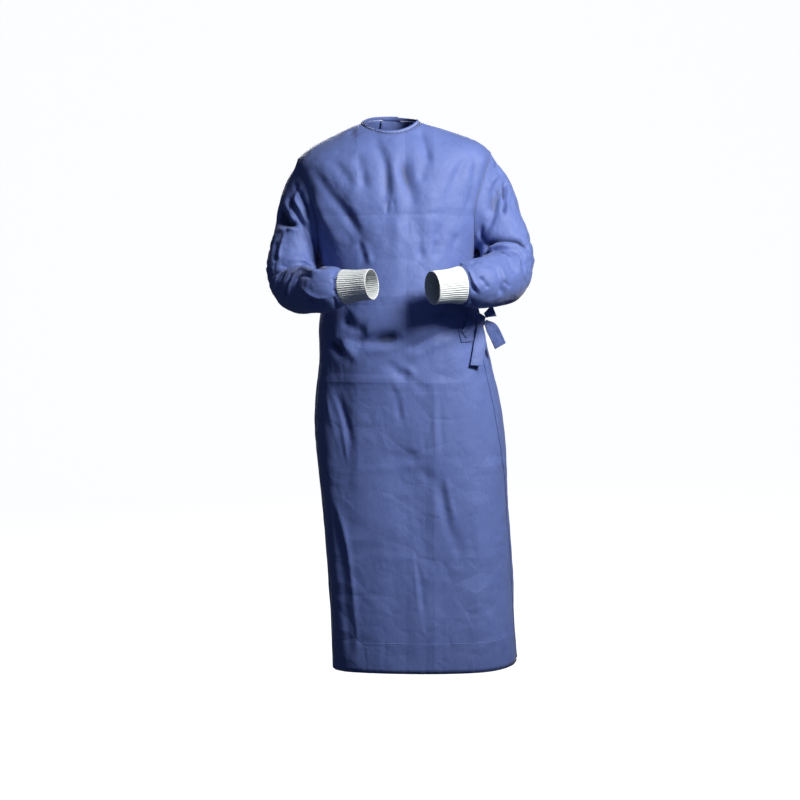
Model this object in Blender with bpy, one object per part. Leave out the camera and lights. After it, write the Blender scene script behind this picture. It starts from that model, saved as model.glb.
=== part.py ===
# Surgical gown in its worn, hollow shape, with nobody inside.
# Metres, +Z up, the front faces -Y, and +X is the wearer's left.
# The origin is midway between the two side-neck points, where shoulders hold the gown.

import math
from collections import namedtuple

import bmesh
import bpy
from mathutils import Vector

MM = 0.001
SHARP = math.radians(50)  # edges that turn more than this are shaded as corners

# Cloth and seams
WALL = 1.6 * MM
HEM_WALL = 2.4 * MM  # the hem is turned up, so it is two layers thick
SEAM = 0.3 * MM
ON_PANEL = 0.7 * MM  # clears the panel where its flat faces cut across a hollow
LAYER = 4.2 * MM  # how far the wrap panel lies outside the panel under it
LAYER_RUN = 0.33  # half turns from the side seam over which it gets there
TRIM = 1.2 * MM  # tapes, ties and patches
BINDING_HEIGHT = 9 * MM
BINDING_WALL = 2.0 * MM
BINDING_LEAN = 0.55  # 1 carries on up the cloth, 0 stands upright

# How finely each piece is divided
FRONT_COLUMNS = 28
WRAP_COLUMNS = 22
UNDER_COLUMNS = 11
ARMHOLE_ROWS = 10
ARC_SAMPLES = 96
BEND_SAMPLES = 24
ARM_STEPS = 120
NORMAL_TURN = 0.012
NORMAL_LEVEL = 0.08
HALVINGS = 30  # of a search between two values

# Folds fade over this share of a half ring beside a side seam, and of their own length
SEAM_FADE = 0.16
FOLD_FADE = 0.35
FOLD_PAST = 0.15

# The armholes, as a share of the half ring that each edge cuts away
ARMHOLE_FRONT = 0.115
ARMHOLE_BACK = 0.115
ARMHOLE_ROUND = 0.75

# Knitted cuffs
CUFF_LENGTH = 0.072
CUFF_RIBS = 22
CUFF_RIB_HEIGHT = 0.9 * MM
CUFF_RIB_AT_ENDS = 0.35  # share of their height where the knit is sewn or bound off
CUFF_WALL = 1.8 * MM
CUFF_ROWS = 4
CUFF_GRIP = 0.88  # its size beyond the seam, where the knit draws in
CUFF_DRAW = 0.45  # share of its length over which it does

# Ties at the wearer's left front
TIE_WIDTH = 0.030
RIBBON_ROWS = 8
RIBBON_STEP = 0.02  # share of its length on each side of a point that gives its direction
PINCHED = 0.4  # share of a tie's width that is left where it enters the knot
PATCH_X = 0.176
PATCH_Z = -0.500
PATCH_TURN = 0.85  # about where that is, in half turns
PATCH_SIZE = 0.032
KNOT_AT = (0.208, -0.096, -0.460)
KNOT_SIZE = (0.015, 0.012, 0.014)  # half sizes

# The closure tab at the back of the neck, in half turns and levels of the body
TAB_PAST = 0.13
TAB_ON = 0.12
TAB_FLAT = 0.02  # how far past the free edge it stays up
TAB_STEP = 0.05
TAB_LEVELS = (15.40, 15.86)

FABRIC_BLUE = (0.105, 0.150, 0.375)
KNIT_WHITE = (0.80, 0.82, 0.80)
TAPE_BLUE = (0.090, 0.130, 0.330)

# One row for each level of the body, from the hem up to the neckline.
# rows is how many wall rows run up to the next level.
# right and left are the side lines, front and back the centre lines, and
# square is the exponent of the rounded outline seen from above.
Ring = namedtuple(
    "Ring",
    "name rows right_x right_z left_x left_z front_y front_z back_y back_z square",
)
RINGS = (
    Ring("hem", 1, -0.142, -1.305, 0.303, -1.283, -0.165, -1.292, 0.160, -1.300, 2.9),
    Ring("hem_fold", 2, -0.145, -1.228, 0.298, -1.212, -0.165, -1.218, 0.160, -1.226, 2.9),
    Ring("calf", 2, -0.148, -1.125, 0.291, -1.118, -0.163, -1.120, 0.160, -1.125, 2.9),
    Ring("knee", 2, -0.157, -1.025, 0.288, -1.025, -0.160, -1.025, 0.160, -1.025, 2.8),
    Ring("low_thigh", 2, -0.165, -0.925, 0.280, -0.925, -0.158, -0.925, 0.162, -0.925, 2.8),
    Ring("thigh", 2, -0.175, -0.825, 0.276, -0.825, -0.157, -0.825, 0.166, -0.825, 2.7),
    Ring("hip", 2, -0.181, -0.730, 0.267, -0.730, -0.158, -0.730, 0.166, -0.730, 2.6),
    Ring("belly", 2, -0.179, -0.640, 0.252, -0.640, -0.161, -0.640, 0.160, -0.640, 2.5),
    Ring("under_tie", 2, -0.172, -0.550, 0.231, -0.550, -0.166, -0.550, 0.150, -0.550, 2.4),
    Ring("waist", 1, -0.176, -0.480, 0.217, -0.480, -0.168, -0.480, 0.140, -0.480, 2.2),
    Ring("blouse", 2, -0.168, -0.435, 0.207, -0.435, -0.167, -0.435, 0.138, -0.435, 2.1),
    Ring("ribs", 2, -0.160, -0.376, 0.196, -0.376, -0.161, -0.376, 0.138, -0.376, 2.05),
    Ring("armpit", 5, -0.170, -0.312, 0.198, -0.308, -0.153, -0.312, 0.142, -0.306, 2.1),
    Ring("chest", 5, -0.196, -0.200, 0.214, -0.190, -0.140, -0.212, 0.142, -0.196, 2.2),
    Ring("shoulder", 2, -0.222, -0.083, 0.237, -0.066, -0.115, -0.114, 0.126, -0.090, 2.1),
    Ring("yoke", 2, -0.146, -0.033, 0.157, -0.023, -0.095, -0.066, 0.096, -0.040, 2.0),
    Ring("neck", 0, -0.073, 0.000, 0.070, 0.004, -0.073, -0.030, 0.066, 0.012, 2.0),
)
LEVEL = {ring.name: float(number) for number, ring in enumerate(RINGS)}
TOP = LEVEL["neck"]

# Where the free edge of each back panel runs, in half turns from the right side seam.
# The wrap panel goes backwards round the body, and past -1 it lies over the front.
FreeEdge = namedtuple("FreeEdge", "level wrap under")
FREE_EDGES = (
    FreeEdge("hem", -1.030, 1.62),
    FreeEdge("low_thigh", -1.060, 1.62),
    FreeEdge("hip", -1.125, 1.62),
    FreeEdge("waist", -1.125, 1.62),
    FreeEdge("ribs", -0.930, 1.61),
    FreeEdge("armpit", -0.790, 1.60),
    FreeEdge("shoulder", -0.640, 1.60),
    FreeEdge("neck", -0.600, 1.60),
)

# The largest folds, as seen from the front or from behind.
# Each runs in a straight line and fades at both ends; depth is negative in a trough.
Fold = namedtuple("Fold", "side top_x top_z end_x end_z width depth")
FOLDS = (
    Fold("front", -0.038, -0.055, -0.006, -0.240, 0.022, -8 * MM),
    Fold("front", -0.085, -0.080, -0.045, -0.240, 0.024, -7 * MM),
    Fold("front", -0.150, -0.130, -0.060, -0.330, 0.031, -8 * MM),
    Fold("front", 0.036, -0.070, 0.062, -0.330, 0.022, -6 * MM),
    Fold("front", 0.078, -0.030, 0.098, -0.150, 0.020, -5 * MM),
    Fold("front", 0.170, -0.110, 0.110, -0.290, 0.025, -6 * MM),
    Fold("front", -0.110, -0.505, 0.050, -0.530, 0.027, -8 * MM),
    Fold("front", 0.130, -0.530, 0.010, -0.565, 0.026, -7 * MM),
    Fold("front", -0.150, -0.640, -0.105, -1.290, 0.024, 9 * MM),
    Fold("front", -0.125, -0.570, -0.115, -0.900, 0.022, -6 * MM),
    Fold("front", 0.020, -0.760, 0.110, -1.130, 0.045, -8 * MM),
    Fold("front", 0.010, -1.000, 0.030, -1.290, 0.030, -6 * MM),
    Fold("front", 0.205, -0.900, 0.235, -1.280, 0.030, 6 * MM),
    Fold("back", -0.020, -0.080, -0.060, -0.420, 0.024, -8 * MM),
    Fold("back", 0.085, -0.110, 0.070, -0.400, 0.024, -7 * MM),
    Fold("back", -0.140, -0.500, 0.050, -0.475, 0.026, -8 * MM),
    Fold("back", 0.150, -0.560, 0.000, -0.540, 0.024, -6 * MM),
    Fold("back", -0.070, -0.600, -0.045, -1.290, 0.030, -12 * MM),
    Fold("back", 0.110, -0.640, 0.150, -1.290, 0.030, -11 * MM),
    Fold("back", 0.015, -0.700, 0.055, -1.290, 0.028, 10 * MM),
)

# Each sleeve's path as (x, y, z): where the cap ends, the corner at the elbow,
# the turn towards the hands, and the end of the cloth. girth scales its sections.
Arm = namedtuple("Arm", "name side girth start elbow turn wrist")
ARMS = (
    Arm("right", -1, 0.97, (-0.229, 0.004, -0.272), (-0.243, -0.046, -0.402),
        (-0.170, -0.176, -0.392), (-0.106, -0.208, -0.386)),
    Arm("left", 1, 1.06, (0.262, 0.004, -0.250), (0.290, -0.046, -0.368),
        (0.222, -0.176, -0.376), (0.159, -0.208, -0.382)),
)
ELBOW_LEG = 0.100  # the bend begins this far from its corner
TURN_LEG = 0.045
ARM_LENGTH = 0.33  # of a path, for the widths of its folds

# Sections of a sleeve, at a share of its path. across is half its size from the
# outer to the inner side, deep half its size from front to back, and lean tips
# the section so that its outer side lies higher.
Cut = namedtuple("Cut", "name rows at across deep lean")
CUTS = (
    Cut("under_cap", 2, 0.00, 0.058, 0.068, 0.045),
    Cut("upper_arm", 3, 0.12, 0.062, 0.066, 0.026),
    Cut("above_elbow", 4, 0.27, 0.063, 0.063, 0.008),
    Cut("elbow", 4, 0.46, 0.060, 0.060, 0.000),
    Cut("below_elbow", 3, 0.64, 0.058, 0.059, 0.000),
    Cut("forearm", 2, 0.82, 0.057, 0.057, 0.000),
    Cut("gather", 2, 0.93, 0.051, 0.052, 0.000),
    Cut("cuff_seam", 0, 1.00, 0.040, 0.041, 0.000),
)
CAP_ROWS = 4
CAP_RISE = 0.62  # how far the cap keeps rising along the arm before it turns over

# The largest folds of a sleeve: share of the path, angle from the outer side
# through the front, spread round the arm, width along it, and depth.
SleeveFold = namedtuple("SleeveFold", "at angle spread width depth")
SLEEVE_FOLDS = (
    SleeveFold(0.40, 90, 55, 0.040, -11 * MM),
    SleeveFold(0.30, 80, 55, 0.050, 5 * MM),
    SleeveFold(0.52, 95, 60, 0.050, 5 * MM),
    SleeveFold(0.06, 20, 50, 0.045, -7 * MM),
    SleeveFold(0.60, 250, 55, 0.050, -5 * MM),
    SleeveFold(0.72, 30, 55, 0.045, -5 * MM),
)


def mixed(first, second, share):
    return first + (second - first) * share


def smooth(share):
    share = min(1.0, max(0.0, share))
    return share * share * (3 - 2 * share)


def spline(values, place):
    """A smooth curve through evenly numbered values, read at a place between them."""
    last = len(values) - 1
    start = min(int(place), last - 1)
    part = place - start
    near, far = values[start], values[start + 1]
    before = values[start - 1] if start > 0 else 2 * near - far
    after = values[start + 2] if start + 2 <= last else 2 * far - near
    slope_near, slope_far = (far - before) / 2, (after - near) / 2
    square, cube = part * part, part * part * part
    return (
        near * (2 * cube - 3 * square + 1)
        + slope_near * (cube - 2 * square + part)
        + far * (3 * square - 2 * cube)
        + slope_far * (cube - square)
    )


def ring_at(level):
    """The body's outline at a level, which may lie between two rings."""
    columns = Ring._fields[2:]
    values = [spline([getattr(ring, name) for ring in RINGS], level) for name in columns]
    return Ring("between", 0, *values)


def half_outline(ring, side):
    """Points of the front or back half from right to left, with their run lengths."""
    centre = (ring.right_x + ring.left_x) / 2
    half = (ring.left_x - ring.right_x) / 2
    reach, middle_z = (
        (ring.front_y, ring.front_z) if side == "front" else (ring.back_y, ring.back_z)
    )
    points, lengths = [], [0.0]
    for number in range(ARC_SAMPLES + 1):
        turn = math.pi * number / ARC_SAMPLES
        across = -math.copysign(abs(math.cos(turn)) ** (2 / ring.square), math.cos(turn))
        out = abs(math.sin(turn)) ** (2 / ring.square)
        side_z = mixed(ring.right_z, ring.left_z, (across + 1) / 2)
        height = mixed(side_z, middle_z, out**1.5)
        points.append(Vector((centre + half * across, reach * out, height)))
    for first, second in zip(points, points[1:]):
        lengths.append(lengths[-1] + (second - first).length)
    return points, lengths


outlines = {}


def base_point(turn, level):
    """A point on the body, turn half turns from the right side seam through the front."""
    level = min(TOP, max(0.0, level))
    around = turn % 2
    side, share = ("front", around) if around <= 1 else ("back", 2 - around)
    key = (round(level, 5), side)
    if key not in outlines:
        outlines[key] = half_outline(ring_at(level), side)
    points, lengths = outlines[key]
    wanted = share * lengths[-1]
    low, high = 0, len(points) - 1
    while high - low > 1:
        middle = (low + high) // 2
        low, high = (middle, high) if lengths[middle] <= wanted else (low, middle)
    part = (wanted - lengths[low]) / (lengths[high] - lengths[low])
    return points[low].lerp(points[high], part)


def normal_of(surface, turn, level):
    """The outward normal of a surface that is a function of turn and level."""
    low = max(0.0, level - NORMAL_LEVEL)
    high = min(TOP, level + NORMAL_LEVEL)
    across = surface(turn + NORMAL_TURN, level) - surface(turn - NORMAL_TURN, level)
    up = surface(turn, high) - surface(turn, low)
    return across.cross(up).normalized()


def fold_depth(point, side):
    """How far the folds of one side move a point in or out."""
    total = 0.0
    for fold in FOLDS:
        if fold.side != side:
            continue
        run_x, run_z = fold.end_x - fold.top_x, fold.end_z - fold.top_z
        length = math.hypot(run_x, run_z)
        from_x, from_z = point.x - fold.top_x, point.z - fold.top_z
        along = (from_x * run_x + from_z * run_z) / length**2
        off = (from_x * run_z - from_z * run_x) / length
        fade = smooth((along + FOLD_PAST) / FOLD_FADE) * smooth((1 + FOLD_PAST - along) / FOLD_FADE)
        total += fold.depth * fade * math.exp(-((off / fold.width) ** 2))
    return total


def body_point(turn, level, layer=0.0):
    """A point on the outside of the cloth, with its folds, moved out by layer."""
    around = turn % 2
    side = "front" if around <= 1 else "back"
    share = around if around <= 1 else 2 - around
    clear_of_seam = smooth(min(share, 1 - share) / SEAM_FADE)
    point = base_point(turn, level)
    out = normal_of(base_point, turn, level)
    return point + out * (layer + clear_of_seam * fold_depth(point, side))


def layered(layer_at):
    """The surface of a panel whose layer depends on how far round it is."""
    return lambda turn, level: body_point(turn, level, layer_at(turn))


def front_layer(turn):
    return 0.0


def wrap_layer(turn):
    return LAYER * smooth(-turn / LAYER_RUN)


def level_rows():
    """The levels of the wall rows of a body panel, from the hem to the neck."""
    levels = []
    for number, ring in enumerate(RINGS[:-1]):
        levels += [number + step / ring.rows for step in range(ring.rows)]
    return levels + [TOP]


def armhole_cut(level, most):
    """How far an armhole edge lies from the side line at a level, as a share."""
    low, high = LEVEL["armpit"], LEVEL["shoulder"]
    if not low < level < high:
        return 0.0
    return most * math.sin(math.pi * (level - low) / (high - low)) ** ARMHOLE_ROUND


def free_edge(level, panel):
    """Where the free edge of the wrap or under panel is at a level."""
    places = [LEVEL[edge.level] for edge in FREE_EDGES]
    values = [getattr(edge, panel) for edge in FREE_EDGES]
    for number in range(len(places) - 1):
        if level <= places[number + 1]:
            share = (level - places[number]) / (places[number + 1] - places[number])
            return spline(values, number + share)
    return values[-1]


def seam_share(level):
    """Half the gap of a seam, in half turns."""
    beside = (base_point(NORMAL_TURN, level) - base_point(-NORMAL_TURN, level)).length
    return SEAM / 2 * 2 * NORMAL_TURN / beside


def front_span(level):
    cut = armhole_cut(level, ARMHOLE_FRONT) + seam_share(level)
    return cut, 1 - cut


def wrap_span(level):
    cut = armhole_cut(level, ARMHOLE_BACK) + seam_share(level)
    return free_edge(level, "wrap"), -cut


def under_span(level):
    cut = armhole_cut(level, ARMHOLE_BACK) + seam_share(level)
    return 1 + cut, free_edge(level, "under")


def new_object(name, mesh_builder, material):
    """Links a finished bmesh into the scene as one named sub-part."""
    mesh = bpy.data.meshes.new(name)
    mesh_builder.to_mesh(mesh)
    mesh_builder.free()
    mesh.materials.append(material)
    mesh.shade_smooth()
    mesh.set_sharp_from_angle(angle=SHARP)
    bpy.context.scene.collection.objects.link(bpy.data.objects.new(name, mesh))


def wall(name, outer, inner, material, closed=False):
    """A closed cloth wall between two grids of points, open or closed round."""
    bm = bmesh.new()
    outside = [[bm.verts.new(point) for point in row] for row in outer]
    inside = [[bm.verts.new(point) for point in row] for row in inner]
    rows, columns = len(outside), len(outside[0])
    steps = [(c, (c + 1) % columns) for c in range(columns if closed else columns - 1)]
    for row in range(rows - 1):
        for here, there in steps:
            bm.faces.new((outside[row][here], outside[row][there],
                          outside[row + 1][there], outside[row + 1][here]))
            bm.faces.new((inside[row][there], inside[row][here],
                          inside[row + 1][here], inside[row + 1][there]))
    for here, there in steps:
        bm.faces.new((outside[0][there], outside[0][here], inside[0][here], inside[0][there]))
        bm.faces.new((outside[-1][here], outside[-1][there], inside[-1][there], inside[-1][here]))
    if not closed:
        for row in range(rows - 1):
            bm.faces.new((outside[row][0], outside[row + 1][0],
                          inside[row + 1][0], inside[row][0]))
            bm.faces.new((outside[row + 1][-1], outside[row][-1],
                          inside[row][-1], inside[row + 1][-1]))
    bmesh.ops.recalc_face_normals(bm, faces=bm.faces)
    new_object(name, bm, material)


def cloth_thickness(level):
    return mixed(HEM_WALL, WALL, smooth(level / LEVEL["hem_fold"]))


def panel_grids(surface, span, columns):
    """The outside and inside points of a body panel."""
    outer, inner = [], []
    for level in level_rows():
        first, last = span(level)
        outer_row, inner_row = [], []
        for column in range(columns + 1):
            turn = mixed(first, last, column / columns)
            point = surface(turn, level)
            outer_row.append(point)
            inner_row.append(point - normal_of(surface, turn, level) * cloth_thickness(level))
        outer.append(outer_row)
        inner.append(inner_row)
    return outer, inner


def body_panel(name, layer_at, span, columns, material):
    outer, inner = panel_grids(layered(layer_at), span, columns)
    wall(name, outer, inner, material)


def neck_turns():
    """The columns of the three panels at the neck edge, from wrap to under panel."""
    first, last = free_edge(TOP, "wrap"), free_edge(TOP, "under")
    turns = [mixed(first, 0, column / WRAP_COLUMNS) for column in range(WRAP_COLUMNS)]
    turns += [column / FRONT_COLUMNS for column in range(FRONT_COLUMNS)]
    return turns + [mixed(1, last, column / UNDER_COLUMNS) for column in range(UNDER_COLUMNS + 1)]


def neck_binding(material):
    """A narrow band on the neck edge, from the wrap panel round to the under panel."""
    outer, inner = [[], []], [[], []]
    for turn in neck_turns():
        layer = wrap_layer(turn)
        edge = body_point(turn, TOP, layer)
        out = normal_of(layered(lambda _, fixed=layer: fixed), turn, TOP)
        along = edge - body_point(turn, TOP - NORMAL_LEVEL, layer)
        up = (along - out * along.dot(out)).normalized()
        stand = Vector((0, 0, 1)).lerp(up, BINDING_LEAN).normalized()
        foot = edge + up * 2 * SEAM + out * SEAM
        tip = foot + stand * BINDING_HEIGHT
        for row, point in enumerate((foot, tip)):
            outer[row].append(point)
            inner[row].append(point - out * BINDING_WALL)
    wall("neck_binding", outer, inner, material)


def armhole_loop(side):
    """Points round an armhole from the shoulder, down its front and up its back,
    each a seam's gap off the cloth edge."""
    low, high = LEVEL["armpit"], LEVEL["shoulder"]
    seam_line = 0.0 if side < 0 else 1.0
    forward = -side
    levels = [high - (high - low) * row / ARMHOLE_ROWS for row in range(ARMHOLE_ROWS + 1)]
    turns = [(level, forward * armhole_cut(level, ARMHOLE_FRONT)) for level in levels]
    turns += [
        (level, -forward * armhole_cut(level, ARMHOLE_BACK)) for level in levels[-2:0:-1]
    ]
    middle = body_point(seam_line, (low + high) / 2)
    loop = []
    for level, cut in turns:
        turn = seam_line + cut
        point = body_point(turn, level)
        out = normal_of(body_point, turn, level)
        into_hole = middle - point
        into_hole = (into_hole - out * into_hole.dot(out)).normalized()
        loop.append(point + out * SEAM + into_hole * SEAM)
    return loop


def arm_path(arm):
    """A function from a share of the arm's length to (point, direction)."""
    points = [Vector(place) for place in (arm.start, arm.elbow, arm.turn, arm.wrist)]
    samples = [points[0]]
    for number, leg in ((1, ELBOW_LEG), (2, TURN_LEG)):
        before, corner, after = points[number - 1 : number + 2]
        bend_in = corner + (before - corner).normalized() * leg
        bend_out = corner + (after - corner).normalized() * leg
        for step in range(BEND_SAMPLES + 1):
            share = step / BEND_SAMPLES
            samples.append(
                bend_in * (1 - share) ** 2
                + corner * 2 * share * (1 - share)
                + bend_out * share**2
            )
    samples.append(points[3])
    lengths = [0.0]
    for first, second in zip(samples, samples[1:]):
        lengths.append(lengths[-1] + (second - first).length)

    def place(share):
        wanted = share * lengths[-1]
        number = 0
        while number < len(samples) - 2 and lengths[number + 1] < wanted:
            number += 1
        first, second = samples[number], samples[number + 1]
        part = (wanted - lengths[number]) / (lengths[number + 1] - lengths[number])
        return first.lerp(second, part), (second - first).normalized()

    return place


def cut_at(share):
    """The size of a sleeve at a share of its path."""
    places = [cut.at for cut in CUTS]
    for number in range(len(places) - 1):
        if share <= places[number + 1]:
            part = (share - places[number]) / (places[number + 1] - places[number])
            return [
                spline([getattr(cut, name) for cut in CUTS], number + part)
                for name in ("across", "deep", "lean")
            ]
    return [getattr(CUTS[-1], name) for name in ("across", "deep", "lean")]


def sleeve_fold_depth(share, angle):
    total = 0.0
    for fold in SLEEVE_FOLDS:
        gap = (math.degrees(angle) - fold.angle + 180) % 360 - 180
        along = (share - fold.at) * ARM_LENGTH
        total += fold.depth * math.exp(-((gap / fold.spread) ** 2 + (2 * along / fold.width) ** 2))
    return total


def sleeve_frames(arm, shares):
    """Centre, direction, outer and forward axes at each share, turned along the arm."""
    place = arm_path(arm)
    outer = Vector((arm.side, 0, 0))
    frames = {}
    for share in sorted(shares + [step / ARM_STEPS for step in range(ARM_STEPS)]):
        centre, ahead = place(share)
        outer = (outer - ahead * outer.dot(ahead)).normalized()
        frames[share] = (centre, ahead, outer, ahead.cross(outer) * arm.side)
    return frames


def sleeve_shares():
    shares = []
    for number, cut in enumerate(CUTS[:-1]):
        following = CUTS[number + 1]
        shares += [mixed(cut.at, following.at, step / cut.rows) for step in range(cut.rows)]
    return shares + [CUTS[-1].at]


def sleeve_ring(arm, frame, share):
    centre, ahead, outer, forward = frame
    across, deep, lean = (size * arm.girth for size in cut_at(share))
    count = 2 * ARMHOLE_ROWS
    ring = []
    for number in range(count):
        angle = 2 * math.pi * number / count
        swell = sleeve_fold_depth(share, angle)
        ring.append(
            centre
            + outer * math.cos(angle) * (across + swell)
            + forward * math.sin(angle) * (deep + swell)
            - ahead * math.cos(angle) * lean
        )
    return ring


def ring_normals(rows, row, side):
    """Outward normals of a tube's grid at one row."""
    count = len(rows[row])
    above, below = rows[max(0, row - 1)], rows[min(len(rows) - 1, row + 1)]
    normals = []
    for number in range(count):
        across = rows[row][(number + 1) % count] - rows[row][number - 1]
        down = below[number] - above[number]
        normals.append((across.cross(down) * side).normalized())
    return normals


def sleeve(arm, material):
    """One sleeve: a cap that starts on the armhole, then rings along the arm."""
    shares = sleeve_shares()
    frames = sleeve_frames(arm, shares)
    rings = [sleeve_ring(arm, frames[share], share) for share in shares]
    loop = armhole_loop(arm.side)
    up_arm = -frames[shares[0]][1]
    cap = []
    for row in range(CAP_ROWS):
        share = row / CAP_ROWS
        ring = []
        for start, end in zip(loop, rings[0]):
            control = end + up_arm * (start - end).length * CAP_RISE
            ring.append(
                start * (1 - share) ** 2 + control * 2 * share * (1 - share) + end * share**2
            )
        cap.append(ring)
    rows = cap + rings
    inner = []
    for row, ring in enumerate(rows):
        normals = ring_normals(rows, row, arm.side)
        inner.append([point - out * WALL for point, out in zip(ring, normals)])
    wall(f"sleeve_{arm.name}", rows, inner, material, closed=True)
    return frames[shares[-1]]


def cuff(arm, frame, material):
    """A ribbed knit tube that carries on from the sleeve's end."""
    centre, ahead, outer, forward = frame
    seam_cut = CUTS[-1]
    count = CUFF_RIBS * 2
    outside, inside = [], []
    for row in range(CUFF_ROWS + 1):
        share = row / CUFF_ROWS
        size = arm.girth * mixed(1.0, CUFF_GRIP, smooth(share / CUFF_DRAW))
        middle = centre + ahead * (SEAM + CUFF_LENGTH * share)
        rib = CUFF_RIB_HEIGHT * (CUFF_RIB_AT_ENDS if row in (0, CUFF_ROWS) else 1.0)
        outer_row, inner_row = [], []
        for number in range(count):
            angle = 2 * math.pi * number / count
            raised = rib if number % 2 else 0.0
            across = outer * math.cos(angle)
            deep = forward * math.sin(angle)
            body = across * seam_cut.across * size + deep * seam_cut.deep * size
            out = (across + deep).normalized()
            inner_row.append(middle + body - out * (CUFF_WALL + rib))
            outer_row.append(middle + body - out * (rib - raised))
        outside.append(outer_row)
        inside.append(inner_row)
    wall(f"cuff_{arm.name}", outside, inside, material, closed=True)


def on_panel(name, turns, levels, layer_at, material, columns=4, rows=2):
    """A small flat piece on a body panel, made from the panel's points moved out."""
    surface = layered(layer_at)
    outer, inner = [], []
    for row in range(rows + 1):
        level = mixed(levels[0], levels[1], row / rows)
        outer_row, inner_row = [], []
        for column in range(columns + 1):
            turn = mixed(turns[0], turns[1], column / columns)
            point = surface(turn, level)
            out = normal_of(surface, turn, level)
            outer_row.append(point + out * (ON_PANEL + TRIM))
            inner_row.append(point + out * ON_PANEL)
        outer.append(outer_row)
        inner.append(inner_row)
    wall(name, outer, inner, material)


def ribbon(name, points, across, pinch, material, slant=0.0):
    """A strip of tape along a smooth line. across is the direction of its width at
    each end, pinch the share of its width that is left there, and slant cuts its
    last end at an angle."""
    last = len(points) - 1

    def centre_at(place):
        place = min(last, max(0.0, place * last))
        return Vector([spline([point[axis] for point in points], place) for axis in range(3)])

    outer, inner = [], []
    for step in range(RIBBON_ROWS + 1):
        share = step / RIBBON_ROWS
        ahead = (centre_at(share + RIBBON_STEP) - centre_at(share - RIBBON_STEP)).normalized()
        wide = Vector(across[0]).lerp(Vector(across[1]), share)
        wide = (wide - ahead * wide.dot(ahead)).normalized()
        out = wide.cross(ahead)
        near_first = mixed(pinch[0], 1, smooth(share * 2))
        near_last = mixed(pinch[1], 1, smooth(2 - share * 2))
        half = min(near_first, near_last) * TIE_WIDTH / 2
        outer_row, inner_row = [], []
        for place in (-1, 0, 1):
            point = centre_at(share) + ahead * slant * place * share + wide * place * half
            outer_row.append(point + out * TRIM / 2)
            inner_row.append(point - out * TRIM / 2)
        outer.append(outer_row)
        inner.append(inner_row)
    wall(name, outer, inner, material)


def off_knot(x, y, z, away=SEAM):
    """A point this far away from the knot's surface, in a direction from its centre."""
    way = Vector((x, y, z)).normalized()
    return Vector(KNOT_AT) + way * Vector(KNOT_SIZE) + way * away


def knot(material):
    bm = bmesh.new()
    bmesh.ops.create_icosphere(bm, subdivisions=2, radius=1.0)
    bmesh.ops.scale(bm, verts=bm.verts, vec=KNOT_SIZE)
    bmesh.ops.translate(bm, verts=bm.verts, vec=KNOT_AT)
    new_object("tie_knot", bm, material)


def level_of_height(turn, height):
    """The level at which a line up the body reaches a height."""
    low, high = 0.0, LEVEL["armpit"]
    for _ in range(HALVINGS):
        middle = (low + high) / 2
        low, high = (middle, high) if base_point(turn, middle).z < height else (low, middle)
    return low


def turn_of_width(width, level):
    """The turn on the wearer's left front at which the body reaches an x."""
    low, high = 0.5, 1.0
    for _ in range(HALVINGS):
        middle = (low + high) / 2
        low, high = (middle, high) if base_point(middle, level).x < width else (low, middle)
    return low


def place_of(width, height):
    """The turn and level on the left front that have this x and height."""
    turn = PATCH_TURN
    for _ in range(4):
        level = level_of_height(turn, height)
        turn = turn_of_width(width, level)
    return turn, level


def standing_off(width, height, off):
    """A point off the left front, over the place with this x and height."""
    return body_point(*place_of(width, height), off)


def up_along(turn, level):
    """The direction up the body's surface."""
    above = base_point(turn, level + NORMAL_LEVEL)
    return (above - base_point(turn, level - NORMAL_LEVEL)).normalized()


def neck_tab(material):
    """The closure tab at the back of the neck, across the wrap panel's free edge."""
    edge = free_edge(sum(TAB_LEVELS) / 2, "wrap")

    def tab_layer(turn):
        return LAYER * smooth((turn - edge + TAB_FLAT + TAB_STEP) / TAB_STEP)

    on_panel("neck_tab", (edge - TAB_PAST, edge + TAB_ON), TAB_LEVELS, tab_layer, material, 8)


def patch(material):
    """The square of cloth that anchors the front tie."""
    half = PATCH_SIZE / 2
    levels = [level_of_height(PATCH_TURN, PATCH_Z + edge) for edge in (-half, half)]
    turns = [turn_of_width(PATCH_X + edge, sum(levels) / 2) for edge in (-half, half)]
    on_panel("tie_patch", turns, levels, front_layer, material, 3)


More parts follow.
